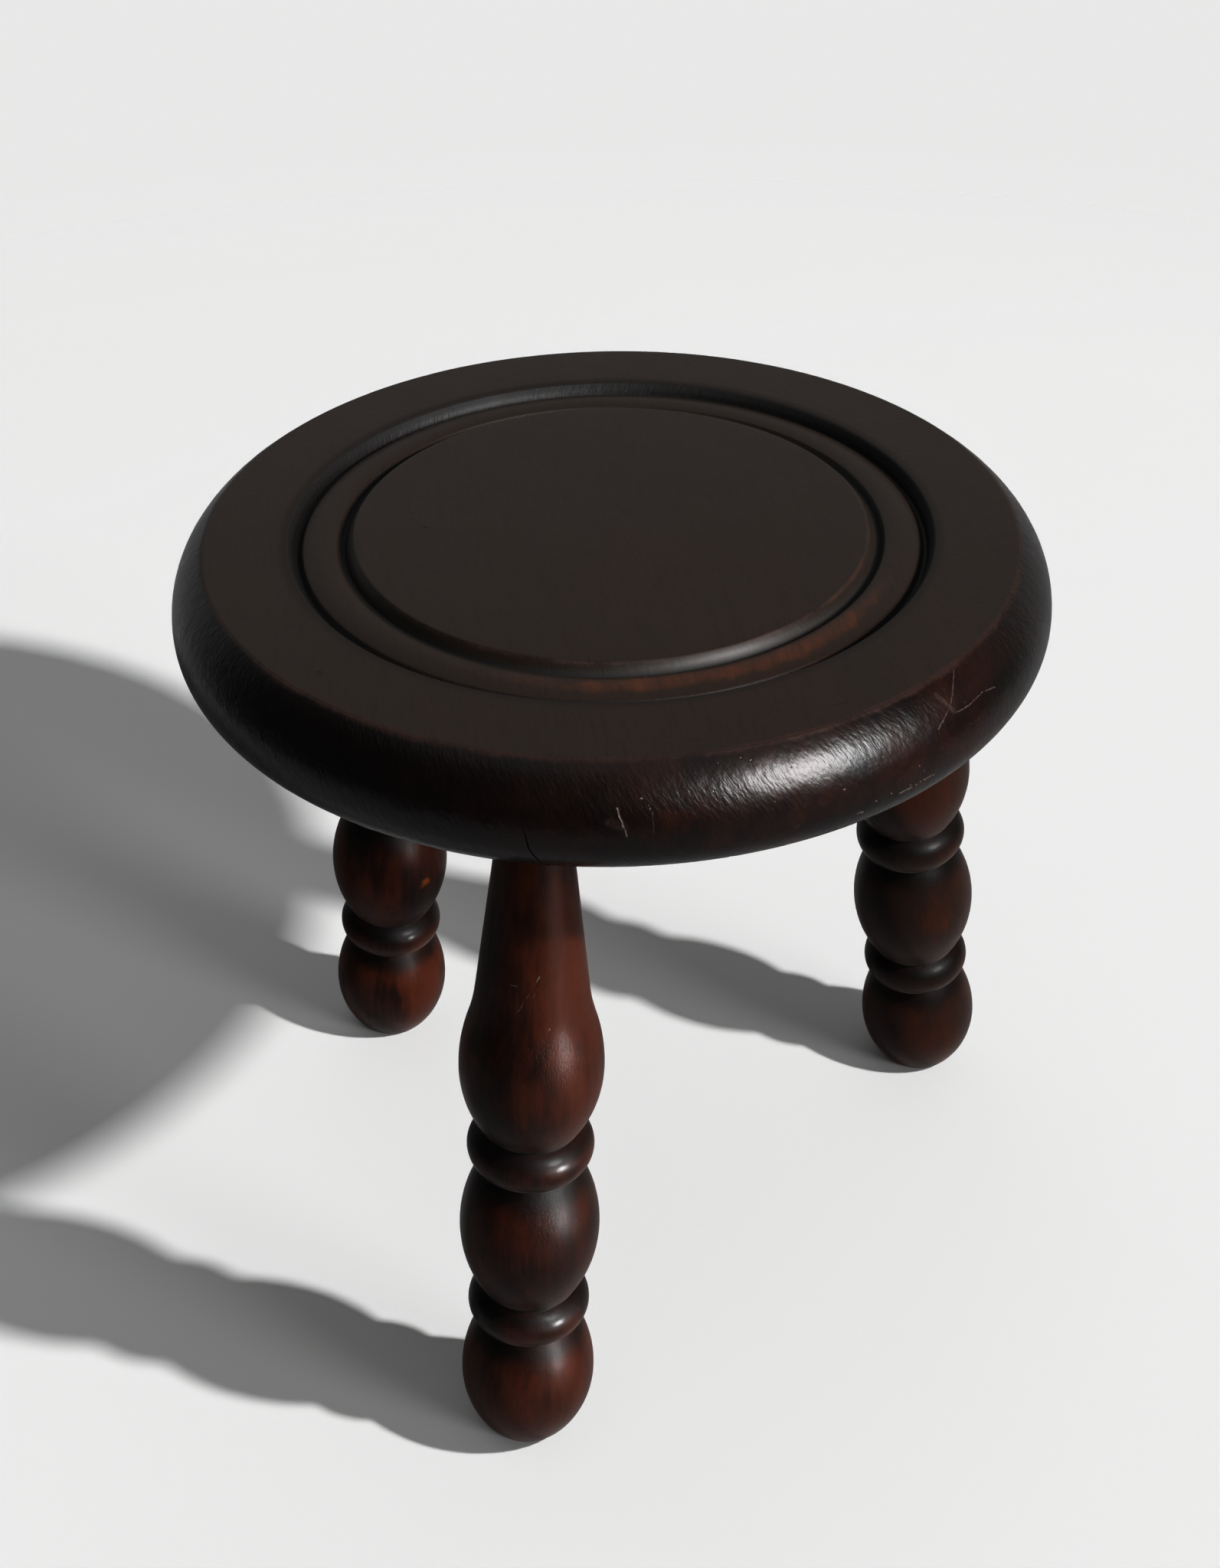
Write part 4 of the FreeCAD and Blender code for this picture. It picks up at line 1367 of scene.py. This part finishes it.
def add_key(stage):
    """The key lamp from the right and a little from the front, which lights the floor evenly."""
    lamp = bpy.data.lights.new("key", "POINT")
    lamp.energy = stage.key * (2 * math.pi * stage.key_away) ** 2
    lamp.shadow_soft_size = stage.key_size
    nodes = fresh_nodes(lamp)
    ray = nodes.add("ShaderNodeNewGeometry").outputs["Incoming"]
    slope = nodes.math("ABSOLUTE", nodes.add("ShaderNodeSeparateXYZ", {0: ray}).outputs["Z"])
    even = nodes.math("DIVIDE", 1 / stage.key_away ** 2, nodes.most(slope, LEAST_SLOPE))
    steady = nodes.add("ShaderNodeLightFalloff", {"Strength": even}).outputs["Constant"]
    glow = nodes.add("ShaderNodeEmission", {"Strength": steady})
    nodes.add("ShaderNodeOutputLight", {"Surface": glow.outputs[0]})
    item = add_lamp("key", lamp, STOOL_MIDDLE, stage.key_turn, stage.key_rise, stage.key_away)
    item.visible_glossy = False


def soft_lamp(name, width, height, power, *aim):
    """An elliptical lamp, with its target, angles and distance."""
    lamp = bpy.data.lights.new(name, "AREA")
    lamp.shape = "ELLIPSE"
    lamp.size = width
    lamp.size_y = height
    lamp.energy = power
    return add_lamp(name, lamp, *aim)


def shining(brightness, width, height):
    """The power of an elliptical lamp of a brightness."""
    return brightness * math.pi * math.pi * width * height / 4


def add_window(stage):
    """The window at the right, whose reflection is the highlight in the polish."""
    size = (stage.window_width, stage.window_height)
    aim = (STOOL_MIDDLE, stage.window_turn, stage.window_rise, stage.window_away)
    soft_lamp("window", *size, shining(stage.window, *size), *aim).visible_diffuse = False


def add_fill(stage):
    """A weak low lamp far to the right, which reaches under the seat."""
    power = stage.fill * (math.pi * stage.fill_away) ** 2
    aim = (STOOL_MIDDLE, stage.fill_turn, stage.fill_rise, stage.fill_away)
    soft_lamp("fill", stage.fill_size, stage.fill_size, power, *aim).visible_glossy = False


def add_strip(stage):
    """A small lamp near the floor, out of the picture, whose reflection is the sheen on the legs."""
    size = (stage.strip_size, stage.strip_size)
    target = Vector((SEAT_AXIS.x, CAD_BOX[0][1], stage.strip_up))
    aim = (target, stage.strip_turn, 0, stage.strip_away)
    item = soft_lamp("strip", *size, shining(stage.strip, *size), *aim)
    item.data.spread = stage.strip_beam
    item.visible_diffuse = False


def add_camera(stage):
    """The camera at the photograph's viewing angle."""
    lens = bpy.data.cameras.new("camera")
    lens.sensor_width = 36
    lens.lens = stage.camera_lens
    lens.clip_start = 0.01
    camera = bpy.data.objects.new("camera", lens)
    pitch, yaw, roll = stage.camera_pitch, stage.camera_yaw, stage.camera_roll
    forward = Vector((math.sin(yaw) * math.cos(pitch), math.cos(yaw) * math.cos(pitch), -math.sin(pitch)))
    right = forward.cross((0, 0, 1)).normalized()
    down = forward.cross(right)
    across = math.cos(roll) * right + math.sin(roll) * down
    below = math.cos(roll) * down - math.sin(roll) * right
    turn = Matrix((across, -below, -forward)).transposed().to_4x4()
    place = Vector((SEAT_AXIS.x, SEAT_AXIS.y - stage.camera_back, SEAT_HIGH.z + stage.camera_up))
    camera.matrix_world = Matrix.Translation(place) @ turn
    bpy.context.scene.collection.objects.link(camera)
    bpy.context.scene.camera = camera


class STOOL_OT_stage(bpy.types.Operator):
    """Lay the paper, set the light and place the camera"""

    bl_idname = "stool.stage"
    bl_label = "Stage"

    def execute(self, context):
        stage = settings().stage
        context.scene.view_settings.view_transform = "Standard"
        for add in (add_floor, set_world, add_key, add_window, add_fill, add_strip, add_camera):
            add(stage)
        return {"FINISHED"}


class STOOL_PT_panel(bpy.types.Panel):
    """The stool's pieces in the sidebar"""

    bl_idname = "STOOL_PT_panel"
    bl_label = "Tripod stool"
    bl_space_type = "VIEW_3D"
    bl_region_type = "UI"
    bl_category = "Stool"

    def draw(self, context):
        for operator in OPERATORS:
            self.layout.operator(operator.bl_idname)
        for group in (context.scene.stool.seat, context.scene.stool.leg, context.scene.stool.finish):
            box = self.layout.box()
            for name in group.__annotations__:
                box.prop(group, name)


GROUPS = (SeatSizes, LegSizes, Finish, Stage, StoolSettings)
OPERATORS = (STOOL_OT_seat, STOOL_OT_legs, STOOL_OT_wedges, STOOL_OT_stage)


def register():
    """Register the classes and the scene's settings."""
    for item in GROUPS + OPERATORS + (STOOL_PT_panel,):
        bpy.utils.register_class(item)
    bpy.types.Scene.stool = PointerProperty(type=StoolSettings)


def unregister():
    """Take the settings and the classes away again."""
    del bpy.types.Scene.stool
    for item in reversed(GROUPS + OPERATORS + (STOOL_PT_panel,)):
        bpy.utils.unregister_class(item)


def main():
    register()
    bpy.ops.stool.seat()
    bpy.ops.stool.legs()
    bpy.ops.stool.wedges()
    bpy.ops.stool.stage()


if __name__ == "__main__":
    main()
